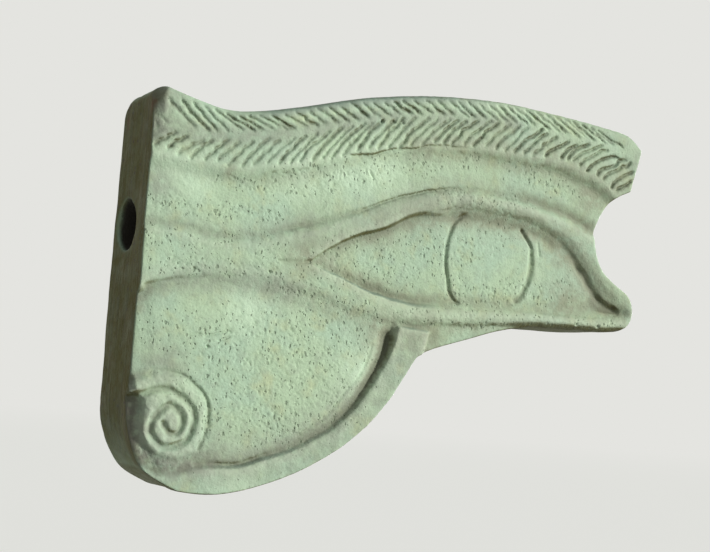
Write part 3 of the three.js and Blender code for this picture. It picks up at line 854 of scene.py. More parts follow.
hairs = [(smooth_line(grain), GRAIN_DEPTH) for grain in GRAIN_SHARES]
hairs += [(smooth_line(stray), STRAY_DEPTH) for stray in STRAY_SHARES]
for root_shares, tip_shares, leans, (first_share, last_share), depths, bow in (
        (HAIR_TOP_SHARES, SPINE_TOP_SHARES, TOP_LEANS, TOP_SPAN, TOP_DEPTHS, 0),
        (HAIR_FOOT_SHARES, SPINE_FOOT_SHARES, FOOT_LEANS, FOOT_SPAN, FOOT_DEPTHS, FOOT_BOW)):
    root_line = smooth_line(root_shares)
    tip_line = smooth_line(tip_shares)
    across = first_share * size[0]
    while across < last_share * size[0]:
        lean = np.interp(across / size[0], *np.transpose(leans)) * chance.uniform(*UNEVEN_LEAN)
        root = point_at(root_line, across)
        tip = point_at(tip_line, across + lean)
        trim = chance.uniform(*UNEVEN_TRIM, 2)
        start = root + (tip - root) * trim[0]
        end = tip + (root - tip) * trim[1]
        deep = np.interp(across / size[0], *np.transpose(depths))
        hairs.append((hair_line(start, end, bow), deep))
        across += HAIR_PITCH * chance.uniform(*UNEVEN_PITCH)
hair_depth = np.zeros(len(spots))
for hair, deep in hairs:
    distance, _, along = near(hair, spots, 1.0)
    taper = rise(along, -0.3, 0.12) * rise(1 - along, -0.25, 0.15)
    cut_depth = deep * chance.uniform(*UNEVEN_DEPTH) * taper
    half_width = HAIR_HALF_WIDTH * chance.uniform(*UNEVEN_WIDTH)
    notch = (1 - RIDGE_PART) * np.clip(1 - distance / half_width, 0, 1)
    notch = notch + RIDGE_PART * fall(distance, 0, RIDGE_HALF_WIDTH)
    hair_depth = np.maximum(hair_depth, cut_depth * notch)
depth = depth + hair_depth * (1 + HAIR_ROUGH * rough)
carved = depth.copy()
print("hairs:", len(hairs))

# %% [markdown]
# ## Wear
# The glaze is pitted where bubbles broke and salts came out. The larger pits are real dents here,
# and they lie in clusters: a row of the table holds the two ends of a band of pits, how far they
# scatter from it in millimetres, and their count. Some scratches, chips in the left rim with their
# radius and depth, and a gentle unevenness of the front make the surface look old.

# %% Pits, scratches and chips
PIT_RADIUS = (0.12, 0.22)
PIT_DEPTH = 0.1
PIT_DEPTH_PARTS = (0.4, 1)
PIT_BANDS = [
    [[0.13, 0.70], [0.28, 0.705], 0.5, 100], [[0.02, 0.632], [0.25, 0.642], 0.6, 190],
    [[0.25, 0.72], [0.45, 0.79], 1.3, 300], [[0.45, 0.8], [0.62, 0.84], 0.9, 80],
    [[0.55, 0.742], [0.75, 0.755], 0.6, 190], [[0.03, 0.50], [0.24, 0.515], 0.7, 130],
    [[0.24, 0.49], [0.42, 0.44], 0.9, 170], [[0.33, 0.53], [0.54, 0.6], 2.0, 240],
    [[0.6, 0.5], [0.72, 0.52], 0.9, 140], [[0.61, 0.6], [0.7, 0.68], 1.0, 60],
    [[0.605, 0.54], [0.62, 0.66], 0.7, 60], [[0.69, 0.5], [0.73, 0.56], 0.9, 60],
    [[0.77, 0.52], [0.85, 0.56], 1.0, 60], [[0.18, 0.36], [0.4, 0.36], 2.4, 420],
    [[0.15, 0.25], [0.38, 0.25], 2.6, 480], [[0.18, 0.16], [0.3, 0.17], 1.6, 190],
    [[0.05, 0.36], [0.15, 0.33], 1.5, 60], [[0.45, 0.44], [0.7, 0.45], 0.7, 110],
    [[0.7, 0.83], [0.85, 0.8], 0.9, 60], [[0.14, 0.1], [0.15, 0.22], 0.5, 50],
    [[0.7, 0.462], [0.95, 0.475], 0.4, 40], [[0.02, 0.56], [0.25, 0.575], 0.8, 60]]
SCRATCHES_SHARES = [
    [[0.1, 0.347], [0.118, 0.354]], [[0.128, 0.35], [0.17, 0.366]], [[0.152, 0.343], [0.172, 0.352]],
    [[0.779, 0.66], [0.782, 0.63]], [[0.41, 0.775], [0.418, 0.757]]]
HOLES_SHARES = [
    [0.134, 0.328], [0.87, 0.468], [0.919, 0.469], [0.426, 0.898], [0.45, 0.9], [0.468, 0.902],
    [0.233, 0.51], [0.098, 0.497]]
CHIPS_SHARES = [
    [[0.0, 0.236], 1.3, 0.8], [[0.008, 0.226], 0.6, 0.4],
    [[-0.004, 0.555], 0.9, 0.35], [[-0.003, 0.8], 0.8, 0.35]]


def dent(centre, radius, deep):
    """A round dent in the front."""
    global depth
    box = np.flatnonzero(np.all(np.abs(spots - centre) < radius, axis=1))
    gap = np.linalg.norm(spots[box] - centre, axis=1)
    depth[box] += deep * fall(gap, 0.1 * radius, radius)


for start, end, reach, count in PIT_BANDS:
    places_in_band = np.linspace(start, end, 50) * size + corner
    for centre in chance.choice(places_in_band, count) + chance.normal(0, reach, (count, 2)):
        dent(centre, chance.uniform(*PIT_RADIUS), PIT_DEPTH * chance.uniform(*PIT_DEPTH_PARTS))
for hole in HOLES_SHARES:
    dent(corner + np.array(hole) * size, radius=0.32, deep=0.3)
for place, radius, deep in CHIPS_SHARES:
    dent(corner + np.array(place) * size, radius, deep)
for scratch in SCRATCHES_SHARES:
    groove(scratch, half_width=0.24, deep=0.16, reach=1)
report("pits, scratches and chips")

# %% Carve
WAVE_HEIGHTS_AND_LENGTHS = [(0.06, 7), (0.035, 1.4)]
ROUGHNESS = 0.03
PIT_DIRT_AND_SHADE = 0.5
for seed, (high, long) in enumerate(WAVE_HEIGHTS_AND_LENGTHS, start=1):
    depth = depth + high * wander(long, seed)
depth = np.maximum(depth + ROUGHNESS * rough, 0)
# Pits count half towards the depth that is darkened as dirt and as painted shade.
dirt_and_shade_depth = carved + PIT_DIRT_AND_SHADE * (depth - carved)
squeeze = fall(places[on_front, 1] - front, 0.0, SQUEEZE_REACH)
places[on_front, 1] = places[on_front, 1] + depth * squeeze
write_places(body.data, places)
print("deepest carving:", depth.max().round(2), "mm")

# %% [markdown]
# Dirt and stain settled where the carving lies deeper than what is round it, and shade is painted
# there too. So the depth is laid on a fine grid, and a blurred copy is taken from it. What is left
# says how sunk a place is: once for thin cuts and once for broad hollows.

# %% How sunk each place is
CELL = 0.2
THIN_RADII = (0.2, 0.6)
BROAD_RADII = (0.5, 2.2)
cells = np.ceil(size / CELL).astype(int) + 1
cell_of_spot = tuple(np.clip(((true_spots - corner) / CELL).astype(int), 0, cells - 1).T)
depth_sum = np.zeros(cells)
spot_count = np.zeros(cells)
front_most = squeeze > 0.5
np.add.at(depth_sum, tuple(index[front_most] for index in cell_of_spot), dirt_and_shade_depth[front_most])
np.add.at(spot_count, tuple(index[front_most] for index in cell_of_spot), 1)


def blurred(grid, radius):
    """The grid with each cell mixed with its neighbours, within about the radius in millimetres."""
    reach = int(3 * radius / CELL) + 1
    weights = np.exp(-0.5 * (np.arange(-reach, reach + 1) * CELL / radius) ** 2)
    for axis in (0, 1):
        grid = np.apply_along_axis(np.convolve, axis, grid, weights / weights.sum(), "same")
    return grid


def mean_depth(radius):
    """The depth of the carving, blurred within about the radius."""
    return blurred(depth_sum, radius) / np.maximum(blurred(spot_count, radius), 0.001)


def sunk(near_radius, far_radius):
    """How much deeper each cell lies than what is round it."""
    return mean_depth(near_radius) - mean_depth(far_radius)


thin_cuts = sunk(*THIN_RADII)
broad_hollows = sunk(*BROAD_RADII)
print("sunk by at most:", thin_cuts.max().round(2), broad_hollows.max().round(2), "mm")

# %% [markdown]
# The back and the sides are uneven too. Every vertex moves a little along its normal, and on the
# left end long marks run up and down, where the paste was smeared smooth.

# %% Uneven sides
UNEVEN = 0.1
UNEVEN_LENGTH = 6
SMEAR = 0.05
SMEAR_WIDTH = 0.5
SMEAR_LENGTH = 5
END_DEPTH = 1
SHRINK = 0.08
places = read_places(body.data)
normals = read_normals(body.data)
off_front = rise(places[:, 1] - front, 2, 4)
shift = np.zeros(len(places))
for index in np.flatnonzero(off_front > 0):
    x, y, z = places[index]
    wave = Vector((x / UNEVEN_LENGTH, y / UNEVEN_LENGTH, z / UNEVEN_LENGTH))
    shift[index] = UNEVEN * noise.fractal(wave, 1.0, 2.0, 3)
    if x < left + END_DEPTH:
        mark = Vector((3, y / SMEAR_WIDTH, z / SMEAR_LENGTH))
        shift[index] += SMEAR * noise.fractal(mark, 1.0, 2.0, 2)
places = places + normals * (np.minimum(shift - SHRINK, 0) * off_front)[:, None]
write_places(body.data, places)
print("waves on the sides:", shift.min().round(2), "to", shift.max().round(2), "mm")

# %% [markdown]
# ## Fewer triangles
# A collapse takes triangles away where the surface is flat, and leaves them in the carving. It
# brings the piece under 200,000 triangles.

# %% Thin out
MOST_TRIANGLES = 190000
apply_new(body, "TRIANGULATE")
share_kept = min(1, MOST_TRIANGLES / len(body.data.polygons))
apply_new(body, "DECIMATE", ratio=share_kept)
body.data.shade_smooth()
print("finished body:", len(body.data.polygons), "triangles")

# %% [markdown]
# ## What the material needs to know
# Each vertex gets a few numbers: how sunk it lies, how far it is bare paste rather than glaze, a
# measure which also paints shade on the sides facing left and down, how pitted it is, whether it is
# in the bore, how pale or rusty it is, and how grey, brown or dark an old stain or a painted shade
# is there. A stain or painted shade has its place or line, how far it spreads in millimetres, and
# for a line its strength. The upper edge is painted darker as shade in the middle of the brow. Spots
# of rust lie on the left end, at places in millimetres front to back and up.

# %% Stains and painted shade
# Besides real stains, these tables paint shade along the foot of the brow, the lines of the lids,
# the trough, in the hollow of the spiral and along the left rim.
GREY_STAIN_AND_SHADE_SHARES = [
    [[0.026, 0.675], 1.6], [[0.02, 0.885], 1.8], [[0.99, 0.9], 1.6], [[0.06, 0.28], 2.0],
    [[0.3, 0.62], 1.6], [[0.1, 0.062], 2.0], [[0.16, 0.08], 2.4], [[0.07, 0.15], 2.6]]
BROWN_STAIN_AND_SHADE_SHARES = [
    [[0.3, 0.55], 2.0], [[0.54, 0.4], 2.6], [[0.46, 0.405], 2.4], [[0.875, 0.715], 1.7],
    [[0.85, 0.52], 2.4], [[0.147, 0.724], 0.5], [[0.89, 0.8], 2.0], [[0.85, 0.64], 2.0],
    [[0.945, 0.83], 1.6]]
PALE_SHARES = [
    [[0.05, 0.7], 1.6], [[0.09, 0.69], 1.6], [[0.29, 0.74], 2.4], [[0.36, 0.76], 2.4],
    [[0.43, 0.78], 2.4], [[0.07, 0.705], 1.8], [[0.2, 0.43], 2.2], [[0.2, 0.035], 2.0],
    [[0.42, 0.3], 2.0]]
DARK_STAIN_AND_SHADE_SHARES = [
    [[0.0, 0.24], 1.3], [[0.008, 0.222], 0.8], [[0.01, 0.17], 1.5], [[0.018, 0.12], 1.5],
    [[0.04, 0.08], 1.2], [[0.07, 0.06], 1.0]]
DARK_STAIN_AND_SHADE_LINES = [
    [[[0.0, 0.89], [0.015, 0.87], [0.018, 0.83], [0.012, 0.79]], 1.0, 0.7],
    [[[0.0, 0.2], [0.004, 0.14], [0.02, 0.09]], 0.8, 0.9],
    [[[0.035, 0.075], [0.07, 0.058], [0.11, 0.058], [0.15, 0.065]], 0.9, 0.7]]
GREY_STAIN_AND_SHADE_LINES = [
    [BROW_FOOT_SHARES[:9], 1.3, 0.3], [LID_TOP_SHARES[:6], 1.2, 0.6],
    [UNDER_LID_SHARES[:11], 1.3, 0.9],
    [[[0.0, 0.8], [0.12, 0.8], [0.27, 0.838], [0.46, 0.917], [0.7, 0.948]], 1.0, 1.0],
    [TROUGH_SHARES[4:], 2.0, 1.0],
    [[[0.51, 0.38], [0.49, 0.31], [0.45, 0.23], [0.39, 0.15], [0.3, 0.07]], 2.0, 0.7],
    [[[0.32, 0.61], [0.42, 0.66], [0.52, 0.715], [0.6, 0.74]], 1.6, 0.6]]
BROWN_STAIN_AND_SHADE_LINES = [
    [BROW_FOOT_SHARES[8:], 1.5, 0.8], [LID_TOP_SHARES[12:], 1.3, 0.5],
    [UPPER_LID_SHARES[3:9], 0.8, 0.8], [UPPER_LID_SHARES[8:], 1.7, 0.9],
    [LOWER_LID_SHARES[2:], 0.9, 0.55], [UNDER_LID_SHARES[9:], 1.2, 0.6]]
print("lines with stains:", len(DARK_STAIN_AND_SHADE_LINES) + len(GREY_STAIN_AND_SHADE_LINES) + len(BROWN_STAIN_AND_SHADE_LINES))

# %% Reading at each vertex
PITTED_LEAST = 0.35
places = read_places(body.data)
normals = read_normals(body.data)
flat_places = places[:, [0, 2]]
behind_front = places[:, 1] - front
facing_front = rise(-normals[:, 1], 0.1, 0.5) * fall(behind_front, 2.5, 3.5)


def on_mesh(grid):
    """Reads a grid of the front at each vertex, and gives 0 off the front."""
    index = tuple(np.clip(((flat_places - corner) / CELL).astype(int), 0, cells - 1).T)
    return grid[index] * fall(behind_front, 3, 4)


def bell(gap):
    """1 at no gap, falling away like a bell."""
    return np.exp(-0.5 * gap ** 2)


def stains_and_shades(stain_list, line_list=(), facing=None):
    """Stain and painted shade at each vertex: round marks, and marks along lines with their
    strength.
    """
    strength = np.zeros(len(places))
    for place, radius in stain_list:
        gap = np.linalg.norm(flat_places - corner - np.array(place) * size, axis=1)
        strength = np.maximum(strength, bell(gap / radius))
    for shares, radius, most in line_list:
        gap, _, _ = near(smooth_line(shares), flat_places, 4 * radius)
        strength = np.maximum(strength, most * bell(gap / radius))
    return strength * (facing_front if facing is None else facing)


def pittedness():
    """How thick the pits lie: most in the bands."""
    strength = np.full(len(places), PITTED_LEAST)
    for start, end, reach, _ in PIT_BANDS:
        gap, _, _ = near(smooth_line([start, end]), flat_places, 3 * reach)
        in_band = 1 - (1 - PITTED_LEAST) * rise(gap, reach, 2.5 * reach)
        strength = np.maximum(strength, in_band)
    return strength

print("vertices to colour:", len(places))

# %% Bare paste, painted shade on the sides and the rim, and rust
RUST_SPOTS = [[2.2, 12.6], [-6.2, 14.4], [-5.9, 13.6]]
RUST_WIDTH = 0.25
RUST_HEIGHT = 0.7
RUST_DEPTH = 0.8
RUST_MOST = 0.6
BACK_BARE = 0.6
UNDER_BARE_AND_SHADE = 0.9
CORNER_BARE = 0.5
RIM_SPAN_SHARES = (0.1, 0.24, 0.5, 0.68)
RIM_RIGHT_LOSS = 0.85
# Sides facing left and down get the dark paste colour partly as painted shade.
left_facing, down_facing = (np.clip(-normals[:, axis], 0, 1) for axis in (0, 2))
back_facing, up_facing = (np.clip(normals[:, axis], 0, 1) for axis in (1, 2))
bare_and_shaded = np.clip(left_facing ** 2 + BACK_BARE * back_facing ** 2, 0, 1) * (1 - facing_front)
bare_and_shaded = np.maximum(bare_and_shaded, UNDER_BARE_AND_SHADE * rise(down_facing, 0.4, 0.75))
worn_corner = Vector((left, front, bottom + CORNER_UP_SHARE * size[1] - 1))
corner_gap = np.linalg.norm(places - np.array(worn_corner), axis=1)
bare_and_shaded = np.maximum(bare_and_shaded, CORNER_BARE * fall(corner_gap, 1.3, 2.4))
in_brow = rise(left_of(BROW_FOOT_SHARES, flat_places), -0.3, 0.8) * facing_front
mesh_across = (places[:, 0] - left) / size[0]
# The upper rim of the brow is painted darker as shade where it faces up.
rim_start, rim_grown, rim_shrinking, rim_end = RIM_SPAN_SHARES
rim_shade = rise(mesh_across, rim_start, rim_grown)
rim_shade = rim_shade * (1 - RIM_RIGHT_LOSS * rise(mesh_across, rim_shrinking, rim_end))
top_gap, _, _ = near(smooth_line(OUTLINE_SHARES[5]), flat_places, 4)
at_top = np.maximum(rise(up_facing, 0.5, 0.9), fall(top_gap, 0.5, 1.5))
rust = np.zeros(len(places))
for deep, up in RUST_SPOTS:
    gap = np.hypot((places[:, 1] - deep) / RUST_WIDTH, (places[:, 2] - up) / RUST_HEIGHT)
    rust = np.maximum(rust, RUST_MOST * bell(gap) * (places[:, 0] < left + RUST_DEPTH))
print("bare share of the surface:", bare_and_shaded.mean().round(2))

# %% Measures on the mesh
THIN_FULL = 0.18
HOLLOW_FULL = 0.4
CREST_FULL = 0.12
BROW_GREY = 0.25
bore_gap = np.hypot(places[:, 1] / BORE_DEPTH, places[:, 2] / BORE_HEIGHT) * 2
MEASURES = {
    # Thin cuts and broad hollows are darkened as dirt and as painted shade, the hairs of the brow
    # most.
    "thin_cut": np.clip(on_mesh(thin_cuts) / THIN_FULL * (0.7 + 1.0 * in_brow), 0, 1),
    "hollow": np.clip(on_mesh(broad_hollows) / HOLLOW_FULL, 0, 1),
    # Crests are lightened as a painted highlight.
    "crest": np.clip(-on_mesh(thin_cuts) / CREST_FULL, 0, 1),
    "bare_and_shaded": bare_and_shaded,
    "shaded_upper_rim": at_top * rim_shade,
    "pitted": pittedness(),
    "bore": fall(bore_gap, 1.03, 1.2) * rise(places[:, 0] - left, 0.2, 0.9),
    "rust": rust,
    # Grey, brown and dark marks are stains and painted shade.
    "grey_stain_and_shade": np.maximum(stains_and_shades(GREY_STAIN_AND_SHADE_SHARES, GREY_STAIN_AND_SHADE_LINES), BROW_GREY * in_brow),
    "brown_stain_and_shade": stains_and_shades(BROWN_STAIN_AND_SHADE_SHARES, BROWN_STAIN_AND_SHADE_LINES),
    "dark_stain_and_shade": stains_and_shades(DARK_STAIN_AND_SHADE_SHARES, DARK_STAIN_AND_SHADE_LINES, fall(behind_front, 2, 3)),
    "pale": stains_and_shades(PALE_SHARES),
}
for measure, values in MEASURES.items():
    attribute = body.data.attributes.new(measure, "FLOAT", "POINT")
    attribute.data.foreach_set("value", values)
    print(measure, "mean", values.mean().round(3), "most", values.max().round(2))

# %% [markdown]
# ## Materials
# One small function adds a node with its settings and its links. Colours are written as they are
# seen on a screen, in hex, and another function turns them into the linear values of the shader.

# %% Node helpers


def linear(hex_colour):
    """A colour such as "#ffcc88" as the linear red, green, blue and alpha of a shader."""
    values = [int(hex_colour[start:start + 2], 16) / 255 for start in (1, 3, 5)]
    straight = [v / 12.92 if v <= 0.04045 else ((v + 0.055) / 1.055) ** 2.4 for v in values]
    return (*straight, 1)


def add(tree, kind, links=None, **settings):
    """Adds a node. settings are its properties, and links its inputs: a socket or a value each."""
    node = tree.nodes.new(kind)
    for name, value in settings.items():
        setattr(node, name, value)
    for name, source in (links or {}).items():
        socket = node.inputs[name]
        if isinstance(source, bpy.types.NodeSocket):
            tree.links.new(source, socket)
        else:
            socket.default_value = source
    return node


def new_material(name):
    """An empty node material, its tree and its output node."""
    material = bpy.data.materials.new(name)
    material.use_nodes = True
    material.node_tree.nodes.clear()
    return material, material.node_tree, material.node_tree.nodes.new("ShaderNodeOutputMaterial")


print("middle grey as linear light:", linear("#808080"))

# %% [markdown]
# Faience is ground quartz with a thin alkali glaze that copper tints green. This glaze is weathered:
# it has lost its shine, it is mottled from green to a pale straw, and dirt has turned its hollows
# brown; the hollows are painted darker as shade too. Where the glaze is gone, as on the left end,
# the paste is olive brown, and it is painted darker still as shade on the sides facing left and
# down. A matt ceramic gives the eye no clear highlight, only a soft sheen, so the roughness is high.
# The
# colour is built in layers: for each one a table says where it lies, how strong it gets, and its
# colour, and some are patchy. Some layers are painted shade: in cuts and hollows, along the lines of
# the lids and the brow, in the hollow of the spiral and on the upper rim. Crests get a painted
# highlight.

# %% Faience colours
GREEN = "#b7cfad"
BLUISH = "#b2cdb1"
STRAW = "#bec99f"
# These stain colours and the dirt colour also serve as painted shade in cuts, hollows and along
# lines.
GREY_STAIN_AND_SHADE = "#949d8b"
BROWN_STAIN_AND_SHADE = "#959980"
DARK_STAIN_AND_SHADE = "#6e6962"
DIRT_AND_SHADE = "#6c6f5a"
# The upper rim colour is painted shade.
UPPER_RIM_SHADE = "#687c72"
# The paste colours are bare paste painted darker as shade.
PASTE_AND_SHADE = "#555121"
PASTE_AND_SHADE_DARK = "#464218"
PASTE_AND_SHADE_PALE = "#5c5828"
RUST = "#70402c"
PIT_DARK = "#76866c"
PALE = "#d2ebcb"
GRAIN_DARK = "#98a890"
# The bore colour is its dirt and its painted shade.
BORE_DIRT_AND_SHADE = "#2b2821"
# The crest colour is a painted highlight.
CREST_HIGHLIGHT = "#d3dfc6"
SPECK = "#3d3426"
MIX_A, MIX_B, MIXED = 6, 7, 2
faience, tree, output = new_material("weathered_faience")
where = add(tree, "ShaderNodeTexCoord").outputs["Object"]
in_mm = add(tree, "ShaderNodeVectorMath", {"Vector": where, "Scale": 1 / MM}, operation="SCALE")
in_mm = in_mm.outputs[0]
told = {
    measure: add(tree, "ShaderNodeAttribute", attribute_name=measure).outputs["Fac"]
    for measure in MEASURES}
CLOUDS = {"soft": 9, "middle": 3.2, "fine": 1.1, "grain": 0.3}
clouds = {
    name: add(tree, "ShaderNodeTexNoise", {
        "Vector": in_mm, "Scale": 1 / length, "Detail": 3, "Roughness": 0.55}).outputs["Fac"]
    for name, length in CLOUDS.items()}
print("measures read:", len(told), "and clouds:", len(clouds))

# %% Helpers for the colours
def spread(value, start, end, low=0.0, high=1.0):
    """Stretches a value from start to end onto low to high, softly."""
    return add(tree, "ShaderNodeMapRange", {
        "Value": value, "From Min": start, "From Max": end, "To Min": low, "To Max": high,
    }, interpolation_type="SMOOTHSTEP").outputs[0]


def maths(operation, first, second):
    """One step of arithmetic with two values."""
    return add(tree, "ShaderNodeMath", {0: first, 1: second}, operation=operation).outputs[0]


def times(first, second):
    """Two values multiplied."""
    return maths("MULTIPLY", first, second)


def tint(colour, amount, other):
    """A colour that turns into another one by an amount."""
    other = linear(other) if isinstance(other, str) else other
    return add(tree, "ShaderNodeMix", {0: amount, MIX_A: colour, MIX_B: other},
               data_type="RGBA").outputs[MIXED]


print("nodes so far:", len(tree.nodes))

# %% Layers of colour
CLOUD_TINTS = [
    ("soft", 0.42, 0.62, 1, BLUISH), ("middle", 0.5, 0.75, 0.7, STRAW),
    ("fine", 0.5, 0.8, 0.35, GREY_STAIN_AND_SHADE), ("grain", 0.45, 0.75, 0.4, GRAIN_DARK)]
# Hollows, thin cuts and the stain layers are darkened partly as painted shade; the upper rim is
# painted shade and crests a painted highlight.
told["browned_and_shaded"] = spread(told["hollow"], 0.15, 0.8)
told["dirty_and_shaded"] = spread(told["hollow"], 0.6, 1.0)
LAYERS = [
    ("pale", 0.8, True, PALE), ("brown_stain_and_shade", 0.85, True, BROWN_STAIN_AND_SHADE),
    ("browned_and_shaded", 0.7, True, BROWN_STAIN_AND_SHADE), ("dirty_and_shaded", 0.7, False, DIRT_AND_SHADE),
    ("grey_stain_and_shade", 0.75, True, GREY_STAIN_AND_SHADE), ("shaded_upper_rim", 0.8, False, UPPER_RIM_SHADE),
    ("dark_stain_and_shade", 0.8, True, DARK_STAIN_AND_SHADE), ("thin_cut", 0.7, False, DIRT_AND_SHADE),
    ("crest", 0.25, False, CREST_HIGHLIGHT)]
colour = linear(GREEN)
for cloud, start, end, most, other in CLOUD_TINTS:
    colour = tint(colour, spread(clouds[cloud], start, end, high=most), other)
patchy = spread(clouds["fine"], 0.3, 0.6, low=0.45)
for measure, most, is_patchy, other in LAYERS:
    amount = times(patchy, most) if is_patchy else most
    colour = tint(colour, times(told[measure], amount), other)
print("layers of colour:", len(CLOUD_TINTS) + len(LAYERS))

# %% [markdown]
# On the bare paste long streaks run up and down, and dark specks of iron sit in it. The streaks are
# the same cloud pattern, squeezed across and stretched upwards.

# %% Bare paste, painted darker as shade
STREAK_WIDTH = 0.45
STREAK_LENGTH = 7
SPECK_SPACING = 1.3
squeezed = add(tree, "ShaderNodeMapping", {
    "Vector": in_mm, "Scale": (1 / STREAK_WIDTH, 1 / STREAK_WIDTH, 1 / STREAK_LENGTH)})
streaks = add(tree, "ShaderNodeTexNoise", {
    "Vector": squeezed.outputs[0], "Scale": 1, "Detail": 3}).outputs["Fac"]
# The paste is painted darker than bare paste alone, as shade on the sides facing left and down.
paste_and_shade = tint(linear(PASTE_AND_SHADE), spread(streaks, 0.4, 0.7), PASTE_AND_SHADE_DARK)
paste_and_shade = tint(paste_and_shade, spread(clouds["middle"], 0.45, 0.7, high=0.6), PASTE_AND_SHADE_PALE)
specks = add(tree, "ShaderNodeTexVoronoi", {"Vector": in_mm, "Scale": 1 / SPECK_SPACING})
paste_and_shade = tint(paste_and_shade, spread(specks.outputs["Distance"], 0.22, 0.08), SPECK)
ragged = spread(clouds["fine"], 0.35, 0.65, low=0.92)
colour = tint(colour, times(told["bare_and_shaded"], ragged), paste_and_shade)
colour = tint(colour, times(told["rust"], 0.8), RUST)
print("streaks are", STREAK_WIDTH, "mm wide and", STREAK_LENGTH, "mm long")

# %% [markdown]
# Fine pits lie all over, up to half a millimetre wide. Each cell of a Voronoi pattern holds one,
# and its random colour says how wide it is, so in many cells it is tiny. They are drawn a little
# taller than wide, as they are on the amulet.

# %% Fine pits
PIT_SPACINGS = (0.68, 0.45)
PIT_SQUASH = 0.75
PIT_WIDEST = 0.36
LEAST_WIDTH = 0.001
PIT_TINT = 0.55
SHAKE = 0.5
shaken = add(tree, "ShaderNodeTexNoise", {"Vector": in_mm, "Scale": 1.6, "Detail": 2})
shaken = add(tree, "ShaderNodeVectorMath", {
    "Vector": shaken.outputs["Color"], "Scale": SHAKE}, operation="SCALE")
shaken = add(tree, "ShaderNodeVectorMath", {0: in_mm, 1: shaken.outputs[0]}, operation="ADD")
pits = 0.0
for spacing in PIT_SPACINGS:
    stretched = add(tree, "ShaderNodeMapping", {
        "Vector": shaken.outputs[0], "Scale": (1 / spacing, 1 / spacing, PIT_SQUASH / spacing)})
    cell = add(tree, "ShaderNodeTexVoronoi", {"Vector": stretched.outputs[0], "Scale": 1})
    chosen = add(tree, "ShaderNodeSeparateColor", {"Color": cell.outputs["Color"]}).outputs[0]
    width = times(spread(chosen, 0.1, 0.9, high=PIT_WIDEST), told["pitted"])
    width = maths("MAXIMUM", width, LEAST_WIDTH)
    filled = maths("DIVIDE", cell.outputs["Distance"], width)
    pits = maths("MAXIMUM", pits, spread(filled, 1.0, 0.35))
colour = tint(colour, times(pits, PIT_TINT), PIT_DARK)
# The bore is painted dark for its dirt and its shade.
colour = tint(colour, told["bore"], BORE_DIRT_AND_SHADE)
print("layers of fine pits:", len(PIT_SPACINGS))

# %% [markdown]
# The bump node gets the height in millimetres: pits go in by almost a tenth, and the grain and the
# streaks of the bare paste stand up by about as much.

# %% Bump and shader
PIT_HEIGHT = -0.08
GRAIN_HEIGHT = 0.07
STREAK_HEIGHT = 0.12
height = times(pits, PIT_HEIGHT)
height = maths("ADD", height, times(clouds["grain"], GRAIN_HEIGHT))
height = maths("ADD", height, times(times(streaks, told["bare_and_shaded"]), STREAK_HEIGHT))
bump = add(tree, "ShaderNodeBump", {"Height": height, "Distance": MM, "Strength": 1.0})
shader = add(tree, "ShaderNodeBsdfPrincipled", {
    "Base Color": colour, "Roughness": spread(clouds["middle"], 0.3, 0.7, low=0.62, high=0.78),
    "IOR": 1.5, "Specular IOR Level": 0.3, "Normal": bump.outputs[0]})
tree.links.new(shader.outputs["BSDF"], output.inputs["Surface"])
body.data.materials.clear()
body.data.materials.append(faience)
print(faience.name, "has", len(tree.nodes), "nodes")

# %% [markdown]
# ## Floor and light
# The floor is a broad pale sheet. Far from the amulet it fades into the pale backdrop, which is the
# world as the camera sees it, so no horizon shows.

# %% Floor
FLOOR_BELOW = 18
FLOOR_RADIUS = 4000
SHEET_THICKNESS = 4
bpy.ops.object.select_all(action="DESELECT")
bpy.ops.mesh.primitive_circle_add(
    vertices=96, radius=FLOOR_RADIUS * MM, fill_type="NGON",
    location=(0, 0, (bottom - FLOOR_BELOW - SHEET_THICKNESS) * MM))
floor = active("floor_sheet")
thicken((0, 0, SHEET_THICKNESS))
bpy.ops.object.transform_apply(location=True, rotation=True, scale=True)
print("the floor lies", FLOOR_BELOW, "mm below the amulet")

# %% [markdown]
# The sheet is matt paper. It takes the amulet's shadow, and to the camera it also glows a little,
# up to the tone of the backdrop, without more light on the amulet.

# %% Paper
BACKDROP = "#e4e4e0"
PAPER = "#b4b4b0"
PAPER_GLOW = 0.6
FADE_FROM, FADE_TO = 0.35, 1.6


def seen_directly():
    """1 for what the camera, a reflection or a refraction sees, and 0 for light that falls."""
    ray = add(tree, "ShaderNodeLightPath").outputs
    either = maths("MAXIMUM", ray["Is Camera Ray"], ray["Is Glossy Ray"])
    return maths("MAXIMUM", either, ray["Is Transmission Ray"])


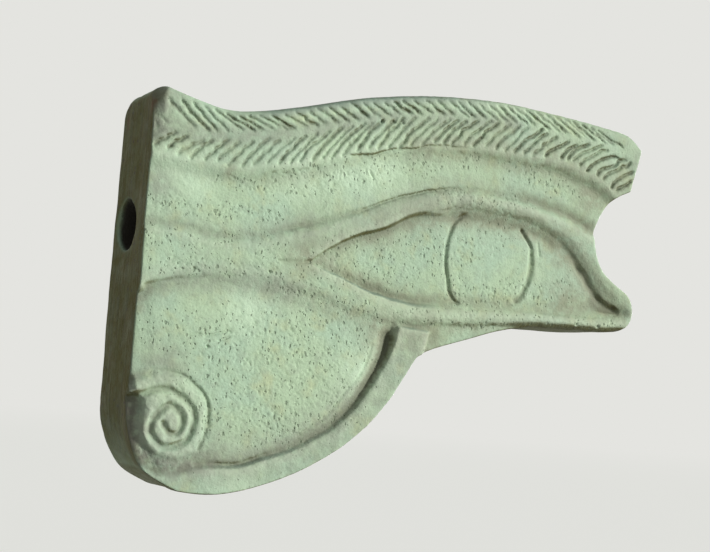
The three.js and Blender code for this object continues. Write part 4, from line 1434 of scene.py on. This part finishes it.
paper, tree, output = new_material("matt_paper")
seen = seen_directly()
place = add(tree, "ShaderNodeTexCoord").outputs["Object"]
far = add(tree, "ShaderNodeVectorMath", {0: place}, operation="LENGTH").outputs["Value"]
fade = spread(far, FADE_FROM, FADE_TO)
glow = add(tree, "ShaderNodeEmission", {
    "Color": linear(BACKDROP), "Strength": times(seen, PAPER_GLOW)})
matt = add(tree, "ShaderNodeBsdfDiffuse", {"Color": linear(PAPER)})
close = add(tree, "ShaderNodeAddShader", {0: glow.outputs[0], 1: matt.outputs[0]})
distant = add(tree, "ShaderNodeEmission", {"Color": linear(BACKDROP), "Strength": seen})
both = add(tree, "ShaderNodeMixShader", {0: fade, 1: close.outputs[0], 2: distant.outputs[0]})
tree.links.new(both.outputs[0], output.inputs["Surface"])
floor.data.materials.append(paper)
print("the paper fades from", FADE_FROM, "to", FADE_TO, "metres away")

# %% Backdrop
ROOM = "#f2f6f6"
ROOM_LIGHT = 0.3
world = bpy.data.worlds.new("studio")
bpy.context.scene.world = world
world.use_nodes = True
tree = world.node_tree
tree.nodes.clear()
room = add(tree, "ShaderNodeBackground", {"Color": linear(ROOM), "Strength": ROOM_LIGHT})
backdrop = add(tree, "ShaderNodeBackground", {"Color": linear(BACKDROP), "Strength": 1.0})
either = add(tree, "ShaderNodeMixShader", {
    0: seen_directly(), 1: room.outputs[0], 2: backdrop.outputs[0]})
add(tree, "ShaderNodeOutputWorld", {"Surface": either.outputs[0]})
print("backdrop", BACKDROP, "and room", ROOM)

# %% [markdown]
# One broad, soft lamp stands in front of the amulet, to its right and a little above it, as in the
# photograph. A weaker one farther round on the right draws the bright rim of the notch. The room
# gives the rest, so the left end stays dark, and its paste is painted darker as shade as well.

# %% Lamps
LAMPS = [
    ("key_light", (0.76, -0.6, 0.25), 3.5, 9, "#fffefb"),
    ("rim_light", (0.93, 0.35, 0.12), 1.8, 10, "#f6fbff")]
for name, from_direction, strength, spread_degrees, colour in LAMPS:
    data = bpy.data.lights.new(name, "SUN")
    data.energy = strength
    data.angle = math.radians(spread_degrees)
    data.color = linear(colour)[:3]
    holder = bpy.data.objects.new(name, data)
    bpy.context.scene.collection.objects.link(holder)
    holder.rotation_euler = Vector(from_direction).to_track_quat("Z", "Y").to_euler()
print("lamps:", len(LAMPS))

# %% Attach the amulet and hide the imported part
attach(body, "root")
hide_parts("amulet_body")
